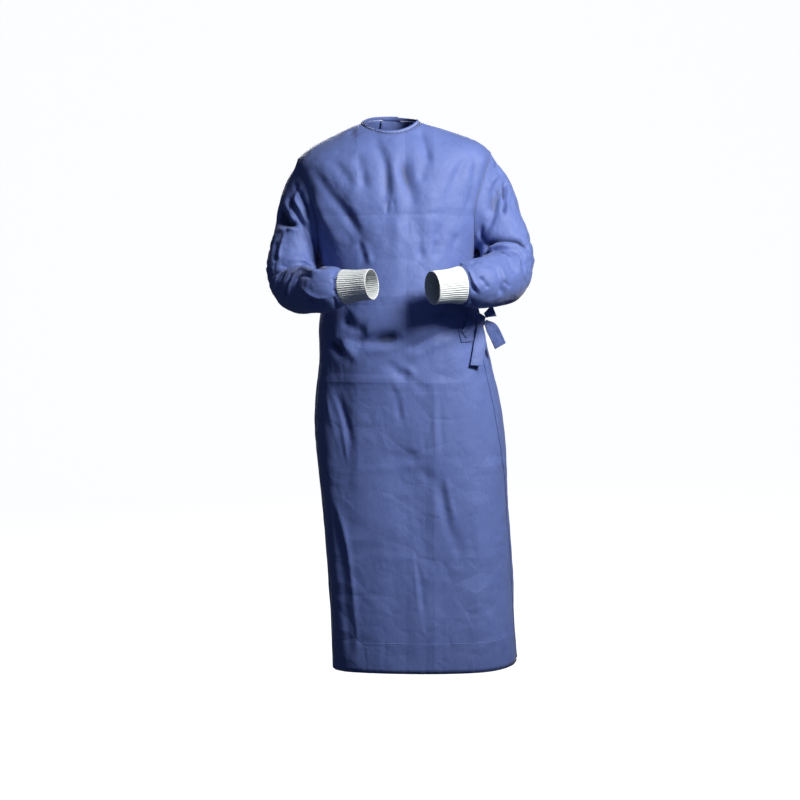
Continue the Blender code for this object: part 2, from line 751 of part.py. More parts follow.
def ties(material):
    """The two short ties that meet in the knot, its loop, and the ends that hang from it.
    Their points are places on the left front (x, z, distance off it), on the wrap
    panel (turn, z, distance off it), or off the knot (direction, distance off it)."""
    on_patch = ON_PANEL + TRIM + SEAM + TRIM / 2
    patch_up = up_along(*place_of(PATCH_X, PATCH_Z))
    ribbon("tie_front",
           (standing_off(PATCH_X - 0.008, PATCH_Z + 0.002, on_patch + 0.0004),
            standing_off(PATCH_X + 0.003, PATCH_Z + 0.016, on_patch + 0.0030),
            standing_off(PATCH_X + 0.008, PATCH_Z + 0.033, 0.0090),
            off_knot(-1, 0.1, -0.1)),
           (patch_up, (0, 0.2, 1)), (0.75, PINCHED), material)

    def on_wrap(turn, height, off):
        return body_point(turn, level_of_height(turn, height), LAYER + off)

    wrap_up = up_along(0.935, level_of_height(0.935, -0.482))
    ribbon("tie_wrap",
           (on_wrap(0.935, -0.482, ON_PANEL + TRIM),
            on_wrap(0.910, -0.478, ON_PANEL + TRIM * 3),
            off_knot(0.9, 0.45, -0.1, 0.0007)),
           (wrap_up, (0.2, 0, 1)), (0.8, PINCHED), material)
    ribbon("tie_tail_front",
           (off_knot(0.05, -0.25, -1),
            standing_off(0.1985, -0.505, 0.015),
            standing_off(0.1955, -0.540, 0.014),
            standing_off(0.1910, -0.572, 0.013)),
           ((1, 0.2, 0), (1, 0.45, 0)), (PINCHED, 1), material, slant=-0.004)
    ribbon("tie_tail_back",
           (off_knot(0.85, -0.15, -0.55),
            off_knot(0.85, -0.10, -0.75, 0.026),
            off_knot(0.60, 0.16, -0.80, 0.070)),
           ((0.8, 0, 0.6), (0.8, 0.1, 0.6)), (PINCHED, 1), material)
    ribbon("tie_loop",
           (off_knot(0.90, -0.40, 0.45),
            off_knot(0.85, -0.35, 0.45, 0.014),
            off_knot(0.85, -0.15, 0.45, 0.026),
            off_knot(0.85, 0.10, 0.45, 0.014),
            off_knot(0.90, 0.02, 0.50)),
           ((-0.35, 0.2, 1), (-0.35, 0.2, 1)), (PINCHED, PINCHED), material)


def material(name, colour, roughness):
    made = bpy.data.materials.new(name)
    made.use_nodes = True
    shader = made.node_tree.nodes["Principled BSDF"]
    shader.inputs["Base Color"].default_value = (*colour, 1)
    shader.inputs["Roughness"].default_value = roughness
    shader.inputs["Metallic"].default_value = 0.0
    return made


def main():
    for old in list(bpy.data.objects):
        bpy.data.objects.remove(old)
    fabric = material("nonwoven_blue", FABRIC_BLUE, 0.75)
    knit = material("knit_white", KNIT_WHITE, 0.9)
    tape = material("tape_blue", TAPE_BLUE, 0.7)

    body_panel("front_panel", front_layer, front_span, FRONT_COLUMNS, fabric)
    body_panel("back_wrap_panel", wrap_layer, wrap_span, WRAP_COLUMNS, fabric)
    body_panel("back_under_panel", front_layer, under_span, UNDER_COLUMNS, fabric)
    neck_binding(tape)
    for arm in ARMS:
        end = sleeve(arm, fabric)
        cuff(arm, end, knit)
    neck_tab(tape)
    patch(tape)
    knot(tape)
    ties(tape)


main()
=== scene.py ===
# Surgical gown of blue nonwoven cloth, kept in its worn, hollow shape.
import math

import bmesh
import bpy
import numpy as np
from mathutils import Matrix, Vector, noise
from mathutils.bvhtree import BVHTree
from mathutils.kdtree import KDTree


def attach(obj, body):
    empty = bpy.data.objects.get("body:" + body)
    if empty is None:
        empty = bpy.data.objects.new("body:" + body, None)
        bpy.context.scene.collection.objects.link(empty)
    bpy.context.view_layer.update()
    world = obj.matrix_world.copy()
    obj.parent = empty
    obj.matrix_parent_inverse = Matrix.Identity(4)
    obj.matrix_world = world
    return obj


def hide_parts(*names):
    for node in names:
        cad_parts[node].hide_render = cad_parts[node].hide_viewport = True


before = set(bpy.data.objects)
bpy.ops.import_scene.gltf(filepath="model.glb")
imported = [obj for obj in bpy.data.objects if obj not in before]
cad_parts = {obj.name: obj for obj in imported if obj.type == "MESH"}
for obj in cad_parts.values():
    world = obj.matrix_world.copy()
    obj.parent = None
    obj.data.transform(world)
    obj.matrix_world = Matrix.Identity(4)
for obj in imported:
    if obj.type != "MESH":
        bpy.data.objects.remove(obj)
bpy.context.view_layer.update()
mm = 0.001
bodyPanels = ["front_panel", "back_wrap_panel", "back_under_panel"]
noise.seed_set(11)  # noise_vector starts from the clock without it


# camera, light and floor
studio = {
    "cameraAt": (0.0217, -4.2, -0.35),
    "cameraAim": (0.0217, 0.0, -0.66),
    "lens": 78.637,
    "floorHeight": -1.58,
    "floorColour": "#F1F2F3",
    "keyAt": (1.25, -1.45, 0.85),  # the photograph is lit from its right, from near and above
    "keyAim": (0.0, 0.0, -0.45),
    "keyPower": 74,  # W
    "keySize": 0.8,
    "fillFrom": (0.10, -1.0, 0.10),
    "fillStrength": 0.15,
    "fillColour": "#8FA9F0",
    "roomStrength": 0.075,
    "roomColour": "#B4C6F2",
    "roomSeen": "#F7F8FA",  # the plain pale room that the camera sees beyond the paper
    "backAt": (-0.4, 3.1, 0.7),  # lights the back only, which the photograph doesn't show
    "backPower": 105,
    "backSize": 1.8,
}


def linearColour(hexText):
    def one(value):
        return value / 12.92 if value <= 0.04045 else ((value + 0.055) / 1.055) ** 2.4
    text = hexText.lstrip("#")
    return tuple(one(int(text[i:i + 2], 16) / 255) for i in (0, 2, 4)) + (1.0,)


def addNode(tree, kind, inputs=None, **settings):
    node = tree.nodes.new("ShaderNode" + kind)
    for name, value in settings.items():
        setattr(node, name, value)
    for name, value in (inputs or {}).items():
        if isinstance(value, bpy.types.NodeSocket):
            tree.links.new(value, node.inputs[name])
        else:
            node.inputs[name].default_value = value
    return node


def newMaterial(name):
    material = bpy.data.materials.new(name)
    material.use_nodes = True
    material.node_tree.nodes.clear()
    return material, material.node_tree


def aimedAt(obj, way):
    obj.rotation_euler = Vector(way).to_track_quat("-Z", "Y").to_euler()


def addSun(name, fromWay, strength, softness, colour):
    light = bpy.data.lights.new(name, "SUN")
    light.energy = strength
    light.color = linearColour(colour)[:3]
    light.angle = math.radians(softness)
    obj = bpy.data.objects.new(name, light)
    bpy.context.scene.collection.objects.link(obj)
    aimedAt(obj, -Vector(fromWay))


def addLamp(name, place, power, size):
    light = bpy.data.lights.new(name, "AREA")
    light.energy = power
    light.shape = "DISK"
    light.size = size
    obj = bpy.data.objects.new(name, light)
    obj.location = place
    obj.visible_camera = False
    bpy.context.scene.collection.objects.link(obj)
    aimedAt(obj, Vector(studio["keyAim"]) - Vector(place))


def buildStudio():
    scene = bpy.context.scene
    camera = bpy.data.objects.new("camera", bpy.data.cameras.new("camera"))
    camera.data.lens = studio["lens"]
    camera.data.sensor_width = 36
    camera.location = studio["cameraAt"]
    aimedAt(camera, Vector(studio["cameraAim"]) - Vector(studio["cameraAt"]))
    scene.collection.objects.link(camera)
    scene.camera = camera
    scene.view_settings.view_transform = "Standard"
    addLamp("keyLight", studio["keyAt"], studio["keyPower"], studio["keySize"])
    addLamp("backLight", studio["backAt"], studio["backPower"], studio["backSize"])
    addSun("fillLight", studio["fillFrom"], studio["fillStrength"], 60, studio["fillColour"])
    world = bpy.data.worlds.new("room")
    world.use_nodes = True
    world.node_tree.nodes.clear()
    scene.world = world
    tree = world.node_tree
    dim = addNode(tree, "Background", {"Color": linearColour(studio["roomColour"]),
                                       "Strength": studio["roomStrength"]})
    seen = addNode(tree, "Background", {"Color": linearColour(studio["roomSeen"])})
    rays = addNode(tree, "LightPath")
    room = addNode(tree, "MixShader", {0: rays.outputs["Is Camera Ray"], 1: dim.outputs[0],
                                       2: seen.outputs[0]})
    addNode(tree, "OutputWorld", {"Surface": room.outputs[0]})
    # a paper sweep: floor, bend and wall in one strip
    bm = bmesh.new()
    low = studio["floorHeight"]
    edge = [bm.verts.new((-9, -9, low)), bm.verts.new((-9, 3, low))]
    bm.edges.new(edge)
    turned = bmesh.ops.spin(bm, geom=[edge[1]], cent=(-9, 3, low + 2), axis=(1, 0, 0),
                            angle=math.radians(90), steps=16, use_duplicate=False)
    top = [v for v in turned["geom_last"] if isinstance(v, bmesh.types.BMVert)]
    wall = bmesh.ops.extrude_vert_indiv(bm, verts=top)["verts"]
    bmesh.ops.translate(bm, verts=wall, vec=(0, 0, 9))
    across = bmesh.ops.extrude_edge_only(bm, edges=bm.edges[:])["geom"]
    bmesh.ops.translate(bm, verts=[v for v in across if isinstance(v, bmesh.types.BMVert)],
                        vec=(18, 0, 0))
    bmesh.ops.recalc_face_normals(bm, faces=bm.faces)
    mesh = bpy.data.meshes.new("floorSweep")
    bm.to_mesh(mesh)
    bm.free()
    mesh.polygons.foreach_set("use_smooth", [True] * len(mesh.polygons))
    floor = bpy.data.objects.new("floorSweep", mesh)
    scene.collection.objects.link(floor)
    material, tree = newMaterial("matt backdrop paper")  # seamless paper, no gloss at all
    shader = addNode(tree, "BsdfPrincipled", {
        "Base Color": linearColour("#6E7072"), "Roughness": 0.95, "Specular IOR Level": 0.1,
        "Emission Color": linearColour(studio["floorColour"]), "Emission Strength": 1.08})
    addNode(tree, "OutputMaterial", {"Surface": shader.outputs[0]})
    mesh.materials.append(material)
    floor.visible_diffuse = False  # the paper's own bounce would wash out the dark side
    floor.visible_glossy = False


buildStudio()
print("studio ready")


# materials
cloth = {
    "colour": "#6173B0",
    "worn": "#7485BC",
    "deep": "#51629E",
    "mottle": 85,  # mm between cloudy patches of thick and thin web
    "fibre": 2.6,  # mm: real fibres are 0.02 mm, drawn coarse enough to show
    "bond": 2.4,  # mm between weld points: really about 1 mm, drawn coarse enough to show
    "creaseCells": (84, 31),  # mm across the papery facets
    "creaseHeights": (8.5, 2.2),  # mm
    "packLines": [  # where it lay folded in its packet: axis, place, height, half width, mm
        ("Z", -216, -1.8, 20), ("Z", -606, 2.0, 20), ("Z", -803, 2.0, 20),
        ("Z", -1015, 1.7, 20), ("Z", -404, 1.0, 20), ("X", -74, 1.2, 20),
        ("X", 40, -1.4, 20), ("X", 106, 2.0, 20), ("X", 208, 1.3, 20),
    ],
    "packWander": 9,  # mm by which those lines wander
    "foldPaintedShade": 0.62,  # painted shade: how much darker the colour is painted in the bottom of a deep fold
}


def creased(tree, place, cell):
    # papery facets: tents that meet along straight valleys, stronger in patches
    warp = addNode(tree, "TexNoise", {"Vector": place, "Scale": 0.3 / (cell * mm), "Detail": 1.0})
    moved = addNode(tree, "VectorMath", {0: warp.outputs["Color"], 1: (0.6 * cell * mm,) * 3},
                    operation="MULTIPLY")
    at = addNode(tree, "VectorMath", {0: place, 1: moved.outputs[0]}, operation="ADD")
    cells = addNode(tree, "TexVoronoi", {"Vector": at.outputs[0], "Scale": 1 / (cell * mm)},
                    feature="DISTANCE_TO_EDGE")
    patchy = addNode(tree, "TexNoise", {"Vector": place, "Scale": 0.5 / (cell * mm)})
    share = addNode(tree, "MapRange", {"Value": patchy.outputs["Fac"], "From Min": 0.36,
                                       "From Max": 0.66})
    return addNode(tree, "Math", {0: cells.outputs["Distance"], 1: share.outputs[0]},
                   operation="MULTIPLY")


def packCreases(tree, place, height):
    # long straight folds from the packet: the cloth bends sharply along each line
    drift = addNode(tree, "TexNoise", {"Vector": place, "Scale": 3.2, "Detail": 1.0})
    moved = addNode(tree, "VectorMath", {0: drift.outputs["Color"],
                                         1: (cloth["packWander"] * mm,) * 3},
                    operation="MULTIPLY")
    at = addNode(tree, "VectorMath", {0: place, 1: moved.outputs[0]}, operation="ADD")
    split = addNode(tree, "SeparateXYZ", {"Vector": at.outputs[0]})
    for number, (axis, middle, high, width) in enumerate(cloth["packLines"]):
        off = addNode(tree, "Math", {0: split.outputs[axis], 1: middle * mm},
                      operation="SUBTRACT")
        size = addNode(tree, "Math", {0: off.outputs[0]}, operation="ABSOLUTE")
        tent = addNode(tree, "MapRange", {"Value": size.outputs[0], "From Min": 0.0,
                                          "From Max": width * mm, "To Min": high * mm,
                                          "To Max": 0.0})
        faded = addNode(tree, "TexNoise", {"Vector": place, "Scale": 2.6 + 0.3 * number,
                                           "Detail": 0.0})
        share = addNode(tree, "MapRange", {"Value": faded.outputs["Fac"], "From Min": 0.34,
                                           "From Max": 0.56, "To Min": 0.15})
        height = addNode(tree, "Math", {0: tent.outputs[0], 1: share.outputs[0], 2: height},
                         operation="MULTIPLY_ADD").outputs[0]
    return height


def stitchRow(tree, distance, at, along):
    # a row of thread: 1 where a stitch lies, from the distance to the cut edge in mm
    off = addNode(tree, "Math", {0: distance, 1: at}, operation="SUBTRACT")
    size = addNode(tree, "Math", {0: off.outputs[0]}, operation="ABSOLUTE")
    line = addNode(tree, "MapRange", {"Value": size.outputs[0], "From Min": 0.3, "From Max": 1.1,
                                      "To Min": 1.0, "To Max": 0.0})
    beat = addNode(tree, "Math", {0: along, 1: 3.2 * mm}, operation="PINGPONG")
    dash = addNode(tree, "MapRange", {"Value": beat.outputs[0], "From Min": 0.5 * mm,
                                      "From Max": 1.0 * mm})
    return addNode(tree, "Math", {0: line.outputs[0], 1: dash.outputs[0]}, operation="MULTIPLY")


def nonwovenCloth(name, shade=1.0, packed=False):
    # Spunbonded polypropylene: calendered web, matt with a faint papery shine,
    # cloudy where the web is thick or thin, and it keeps every sharp crease.
    material, tree = newMaterial(name)
    place = addNode(tree, "TexCoord").outputs["Object"]
    cloud = addNode(tree, "TexNoise", {"Vector": place, "Scale": 1 / (cloth["mottle"] * mm),
                                       "Detail": 5.0, "Roughness": 0.6})
    streak = addNode(tree, "Mapping", {"Vector": place, "Scale": (1.0, 1.0, 0.22)})
    fibre = addNode(tree, "TexNoise", {"Vector": streak.outputs[0],
                                       "Scale": 1 / (cloth["fibre"] * mm), "Detail": 3.0})
    base = addNode(tree, "Mix", {0: cloud.outputs["Fac"], 6: linearColour(cloth["deep"]),
                                 7: linearColour(cloth["worn"])}, data_type="RGBA")
    toned = addNode(tree, "Mix", {0: 0.5, 6: linearColour(cloth["colour"]),
                                  7: base.outputs[2]}, data_type="RGBA")
    grain = addNode(tree, "MapRange", {"Value": fibre.outputs["Fac"], "From Min": 0.3,
                                       "From Max": 0.7, "To Min": 0.93 * shade, "To Max": 1.05 * shade})
    big = creased(tree, place, cloth["creaseCells"][0])
    small = creased(tree, place, cloth["creaseCells"][1])
    bond = addNode(tree, "TexVoronoi", {"Vector": place, "Scale": 1 / (cloth["bond"] * mm),
                                        "Randomness": 0.35}, feature="F1")
    pit = addNode(tree, "MapRange", {"Value": bond.outputs["Distance"], "From Min": 0.12,
                                     "From Max": 0.34})
    height = addNode(tree, "Math", {0: big.outputs[0], 1: cloth["creaseHeights"][0] * mm},
                     operation="MULTIPLY")
    # painted shade: the colour is darkened where a fold is deep, standing in for the shade that falls in it
    fold = addNode(tree, "Attribute", attribute_name="foldDepth").outputs["Fac"]
    held = addNode(tree, "MapRange", {"Value": fold, "From Min": 5.0, "From Max": 13.0,
                                      "To Min": 1.0, "To Max": 1 - cloth["foldPaintedShade"]},
                   interpolation_type="SMOOTHSTEP")
    dark = addNode(tree, "Math", {0: grain.outputs[0], 1: held.outputs[0]},
                   operation="MULTIPLY").outputs[0]
    edge = addNode(tree, "Attribute", attribute_name="edgeDistance").outputs["Fac"]
    hemBand = addNode(tree, "Attribute", attribute_name="hemDistance").outputs["Fac"]
    split = addNode(tree, "SeparateXYZ", {"Vector": place})
    along = addNode(tree, "Math", {0: split.outputs["X"], 1: split.outputs["Z"]},
                    operation="ADD")
    along = addNode(tree, "Math", {0: along.outputs[0], 1: split.outputs["Y"]},
                    operation="ADD").outputs[0]
    # the turned-up hem is two layers: a step, a stitched line and a deeper tone
    band = addNode(tree, "MapRange", {"Value": hemBand, "From Min": 70.5, "From Max": 72.5,
                                      "To Min": 1.0, "To Max": 0.0})
    seamLine = addNode(tree, "MapRange", {"Value": edge, "From Min": 0.2, "From Max": 1.6,
                                          "To Min": 0.0, "To Max": 1.0})
    rowOne = stitchRow(tree, edge, 4.0, along)
    rowTwo = stitchRow(tree, hemBand, 69.0, along)
    rows = addNode(tree, "Math", {0: rowOne.outputs[0], 1: rowTwo.outputs[0]},
                   operation="MAXIMUM")
    for layer, high in ((small.outputs[0], cloth["creaseHeights"][1]), (pit.outputs[0], 0.05),
                        (fibre.outputs["Fac"], 0.10), (band.outputs[0], 0.55),
                        (seamLine.outputs[0], 0.3), (rows.outputs[0], -0.35)):  # mm
        height = addNode(tree, "Math", {0: layer, 1: high * mm, 2: height.outputs[0]},
                         operation="MULTIPLY_ADD")
    darker = addNode(tree, "MapRange", {"Value": band.outputs[0], "To Min": 1.0,
                                        "To Max": 0.93})
    dark = addNode(tree, "Math", {0: dark, 1: darker.outputs[0]},
                   operation="MULTIPLY").outputs[0]
    sewn = addNode(tree, "MapRange", {"Value": rows.outputs[0], "To Min": 1.0, "To Max": 0.86})
    dark = addNode(tree, "Math", {0: dark, 1: sewn.outputs[0]}, operation="MULTIPLY").outputs[0]
    colour = addNode(tree, "VectorMath", {0: toned.outputs[2], "Scale": dark}, operation="SCALE")
    height = height.outputs[0]
    if packed:
        height = packCreases(tree, place, height)
    bump = addNode(tree, "Bump", {"Height": height, "Strength": 1.0, "Distance": 1.0})
    rough = addNode(tree, "MapRange", {"Value": cloud.outputs["Fac"], "To Min": 0.52,
                                       "To Max": 0.70})
    shader = addNode(tree, "BsdfPrincipled", {
        "Base Color": colour.outputs[0], "Roughness": rough.outputs[0],
        "Normal": bump.outputs[0], "Specular IOR Level": 0.36, "Sheen Weight": 0.17,
        "Sheen Roughness": 0.4, "IOR": 1.49})
    addNode(tree, "OutputMaterial", {"Surface": shader.outputs[0]})
    return material


def knitCloth():
    # Ribbed polyester knit: soft, white, matt; loops in columns along each raised rib.
    material, tree = newMaterial("ribbed polyester knit")
    place = addNode(tree, "UVMap").outputs["UV"]  # mm round the cuff, mm along it
    split = addNode(tree, "SeparateXYZ", {"Vector": place})
    stitch = addNode(tree, "Math", {0: split.outputs["Y"], 1: 1.1}, operation="PINGPONG")
    column = addNode(tree, "Math", {0: split.outputs["X"], 1: 0.8}, operation="PINGPONG")
    loops = addNode(tree, "Math", {0: stitch.outputs[0], 1: column.outputs[0]}, operation="ADD")
    spot = addNode(tree, "TexCoord").outputs["Object"]
    fuzz = addNode(tree, "TexNoise", {"Vector": spot, "Scale": 1 / (1.6 * mm), "Detail": 3.0})
    height = addNode(tree, "Math", {0: loops.outputs[0], 1: 0.08 * mm}, operation="MULTIPLY")
    height = addNode(tree, "Math", {0: fuzz.outputs["Fac"], 1: 0.25 * mm,
                                    2: height.outputs[0]}, operation="MULTIPLY_ADD")
    bump = addNode(tree, "Bump", {"Height": height.outputs[0], "Distance": 1.0})
    tone = addNode(tree, "Mix", {0: fuzz.outputs["Fac"], 6: linearColour("#D9DDDA"),
                                 7: linearColour("#EBEDEA")}, data_type="RGBA")
    shader = addNode(tree, "BsdfPrincipled", {
        "Base Color": tone.outputs[2], "Roughness": 0.86, "Normal": bump.outputs[0],
        "Sheen Weight": 0.3, "Specular IOR Level": 0.2})
    addNode(tree, "OutputMaterial", {"Surface": shader.outputs[0]})
    return material


def threadMaterial():
    # Spun polyester sewing thread: pale, slightly shiny twist.
    material, tree = newMaterial("spun polyester thread")
    spot = addNode(tree, "TexCoord").outputs["Object"]
    twist = addNode(tree, "TexNoise", {"Vector": spot, "Scale": 1 / (0.8 * mm), "Detail": 2.0})
    tone = addNode(tree, "Mix", {0: twist.outputs["Fac"], 6: linearColour("#C9CDE4"),
                                 7: linearColour("#F1F2F8")}, data_type="RGBA")
    bump = addNode(tree, "Bump", {"Height": twist.outputs["Fac"], "Distance": 0.2 * mm})
    shader = addNode(tree, "BsdfPrincipled", {"Base Color": tone.outputs[2], "Roughness": 0.5,
                                              "Normal": bump.outputs[0]})
    addNode(tree, "OutputMaterial", {"Surface": shader.outputs[0]})
    return material


def hookLoopTape():
    # Woven nylon hook-and-loop tape: a dense brushed pile, fuzzier and deeper than the cloth.
    material, tree = newMaterial("woven nylon hook-and-loop tape")
    spot = addNode(tree, "TexCoord").outputs["Object"]
    pile = addNode(tree, "TexNoise", {"Vector": spot, "Scale": 1 / (0.9 * mm), "Detail": 5.0})
    rows = addNode(tree, "TexWave", {"Vector": spot, "Scale": 1 / (9 * mm), "Distortion": 1.5},
                   bands_direction="Z")
    both = addNode(tree, "Math", {0: rows.outputs["Fac"], 1: 0.4, 2: pile.outputs["Fac"]},
                   operation="MULTIPLY_ADD")
    tone = addNode(tree, "Mix", {0: both.outputs[0], 6: linearColour("#4A5594"),
                                 7: linearColour("#6D78B4")}, data_type="RGBA")
    bump = addNode(tree, "Bump", {"Height": both.outputs[0], "Distance": 0.5 * mm})
    shader = addNode(tree, "BsdfPrincipled", {"Base Color": tone.outputs[2], "Roughness": 0.9,
                                              "Normal": bump.outputs[0], "Sheen Weight": 0.4})
    addNode(tree, "OutputMaterial", {"Surface": shader.outputs[0]})
    return material


gownCloth = nonwovenCloth("spunbonded polypropylene cloth", packed=True)
sleeveCloth = nonwovenCloth("spunbonded polypropylene sleeve cloth")
tieCloth = nonwovenCloth("folded nonwoven strip", 0.97)
bindingCloth = nonwovenCloth("folded nonwoven binding", 0.95)
knit = knitCloth()
thread = threadMaterial()
tape = hookLoopTape()


# from a thin solid to a sheet of cloth
def sheetsOf(bm):
    left, found = set(bm.faces), []
    while left:
        sheet = [left.pop()]
        for face in sheet:
            for edge in face.edges:
                near = left.intersection(edge.link_faces)
                left -= near
                sheet.extend(near)
        found.append(sheet)
    return found


def relax(bm, rounds):
    inside = [v for v in bm.verts if not v.is_boundary]
    for _ in range(rounds):
        bmesh.ops.smooth_vert(bm, verts=inside, factor=0.5, use_axis_x=True,
                              use_axis_y=True, use_axis_z=True)


def outerCloth(name, levels, cuts=1, rounds=0, corners=()):
    # keeps the outer wall of the node's solid and turns it into even, smooth quads
    bm = bmesh.new()
    bm.from_mesh(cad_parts[name].data)
    bmesh.ops.remove_doubles(bm, verts=bm.verts, dist=0.01 * mm)
    rim = [f for f in bm.faces if min(e.calc_length() for e in f.edges) < 3.1 * mm]
    bmesh.ops.delete(bm, geom=rim, context="FACES")
    outer = set(max(sheetsOf(bm), key=lambda sheet: sum(f.calc_area() for f in sheet)))
    bmesh.ops.delete(bm, geom=[f for f in bm.faces if f not in outer], context="FACES")
    bmesh.ops.join_triangles(bm, faces=bm.faces, angle_face_threshold=math.pi,
                             angle_shape_threshold=math.pi)
    if corners:  # the ring stays pointed where the panels' corners meet it
        held = bm.verts.layers.float.new("crease_vert")
        rimVerts = [v for v in bm.verts if v.is_boundary]
        for corner in corners:
            min(rimVerts, key=lambda v: (v.co - Vector(corner)).length)[held] = 1.0
    mesh = bpy.data.meshes.new(name + "_cloth")
    bm.to_mesh(mesh)
    bm.free()
    obj = bpy.data.objects.new(name + "_cloth", mesh)
    bpy.context.scene.collection.objects.link(obj)
    smoother = obj.modifiers.new("smoother", "SUBSURF")
    smoother.levels = smoother.render_levels = levels
    smoother.boundary_smooth = "PRESERVE_CORNERS"
    bakeModifiers(obj)
    if cuts > 1:
        bm = bmesh.new()
        bm.from_mesh(obj.data)
        bmesh.ops.subdivide_edges(bm, edges=bm.edges[:], cuts=cuts - 1, use_grid_fill=True)
        relax(bm, rounds)
        bm.to_mesh(obj.data)
        bm.free()
    return obj


def bakeModifiers(obj):
    bpy.context.view_layer.update()
    made = bpy.data.meshes.new_from_object(
        obj.evaluated_get(bpy.context.evaluated_depsgraph_get()))
    obj.modifiers.clear()
    old = obj.data
    obj.data = made
    bpy.data.meshes.remove(old)


def pointsOf(obj, what="co"):
    count = len(obj.data.vertices)
    values = np.empty(count * 3, np.float32)
    obj.data.vertices.foreach_get(what, values)
    return values.reshape(count, 3).astype(float)


def moveTo(obj, points):
    obj.data.vertices.foreach_set("co", points.astype(np.float32).ravel())
    obj.data.update()


def borderPoints(obj):
    counts = np.zeros(len(obj.data.edges), int)
    for loop in obj.data.loops:
        counts[loop.edge_index] += 1
    points = pointsOf(obj)
    rows = [edge.vertices[:] for edge, count in zip(obj.data.edges, counts) if count == 1]
    ends = np.array(rows)
    return np.concatenate([points[ends[:, 0]], points[ends].mean(1)])


def treeOf(points):
    tree = KDTree(len(points))
    for number, point in enumerate(points):
        tree.insert(point, number)
    tree.balance()
    return tree


def distancesTo(points, targets):
    tree = treeOf(targets)
    return np.array([tree.find(point)[2] for point in points])


def surfaceOf(objs):
    points, faces = [], []
    for obj in objs:
        start = len(points)
        points += [v.co.copy() for v in obj.data.vertices]
        faces += [[start + i for i in p.vertices] for p in obj.data.polygons]
    return BVHTree.FromPolygons(points, faces)


def eased(share):
    share = np.clip(share, 0, 1)
    return share * share * (3 - 2 * share)


# creases
# Each row: dip or ridge, its points in mm as seen from that side, half width and depth in mm,
# soft or sharp. From the front and back the points are x z, from the sides y z.
softFold = {"spread": 1.3, "share": 1.15}  # how a soft trough widens, and what depth is left
lookFrom = {
    "front": lambda a, b: ((a, -1, b), (0, 1, 0)),
    "back": lambda a, b: ((a, 1, b), (0, -1, 0)),
    "right": lambda a, b: ((-1, a, b), (1, 0, 0)),
    "left": lambda a, b: ((1, a, b), (-1, 0, 0)),
}


def creaseOn(surface, side, row):
    kind, path, width, depth, form = row
    points = []
    for pair in path.split(","):
        a, b = (float(value) * mm for value in pair.split())
        start, way = lookFrom[side](a, b)
        hit = surface.ray_cast(start, way)[0]
        points.append(hit or surface.find_nearest((a, -0.1, b) if side == "front" else start)[0])
    points = np.array(points)
    run = np.concatenate([[0], np.cumsum(np.linalg.norm(np.diff(points, axis=0), axis=1))])
    steps = np.linspace(0, run[-1], 6 * len(points) - 5)
    fine = np.stack([np.interp(steps, run, points[:, k]) for k in range(3)], 1)
    for _ in range(5):
        fine[1:-1] = 0.5 * fine[1:-1] + 0.25 * (fine[:-2] + fine[2:])
    fine = np.array([surface.find_nearest(p)[0] for p in fine])
    return fine, (1 if kind == "ridge" else -1) * depth * mm, width * mm, form


def creaseHeights(points, creases):
    heights = np.zeros(len(points))
    for number, (path, depth, width, form) in enumerate(creases):
        reach = 3.8 * width
        low, high = path.min(0) - reach, path.max(0) + reach
        near = np.nonzero(((points > low) & (points < high)).all(1))[0]
        if not len(near):
            continue
        spots = points[near]
        best = np.full(len(near), np.inf)
        along = np.zeros(len(near))
        for i in range(len(path) - 1):
            step = path[i + 1] - path[i]
            t = np.clip(((spots - path[i]) @ step) / max(step @ step, 1e-12), 0, 1)
            d = np.linalg.norm(spots - path[i] - t[:, None] * step, axis=1)
            closer = d < best
            best[closer] = d[closer]
            along[closer] = (i + t[closer]) / (len(path) - 1)
        across = best / width
        if form == "soft":
            shape = softFold["share"] * np.exp(-(across / softFold["spread"]) ** 2)
        else:
            shape = np.exp(-1.3 * (np.sqrt(across ** 2 + 0.06) - 0.245))
            shape *= eased(2.6 - 0.8 * across)
        fade = eased(np.minimum(along, 1 - along) / (0.28 if form == "soft" else 0.2))
        uneven = 0.85 + 0.3 * np.sin(7.0 * along + 1.7 * number)
        heights[near] += depth * shape * fade * uneven
    return heights


def crumple(points, cell, seed):
    # papery facets: valleys between the cells of a warped pattern
    found = np.empty(len(points))
    for number, point in enumerate(points):
        at = Vector(point) / (cell * mm) + Vector((seed, 0, 0))
        at = at + 0.7 * noise.noise_vector(at * 0.7)
        near, _ = noise.voronoi(at)
        found[number] = min((near[1] - near[0]) / 0.35, 1.0)
    return found - 0.6


def waves(points, cell, seed, stretch=(1, 1, 1)):
    scale = np.array(stretch) / (cell * mm)
    return np.array([noise.noise(Vector(p * scale) + Vector((seed, seed, 0))) for p in points])


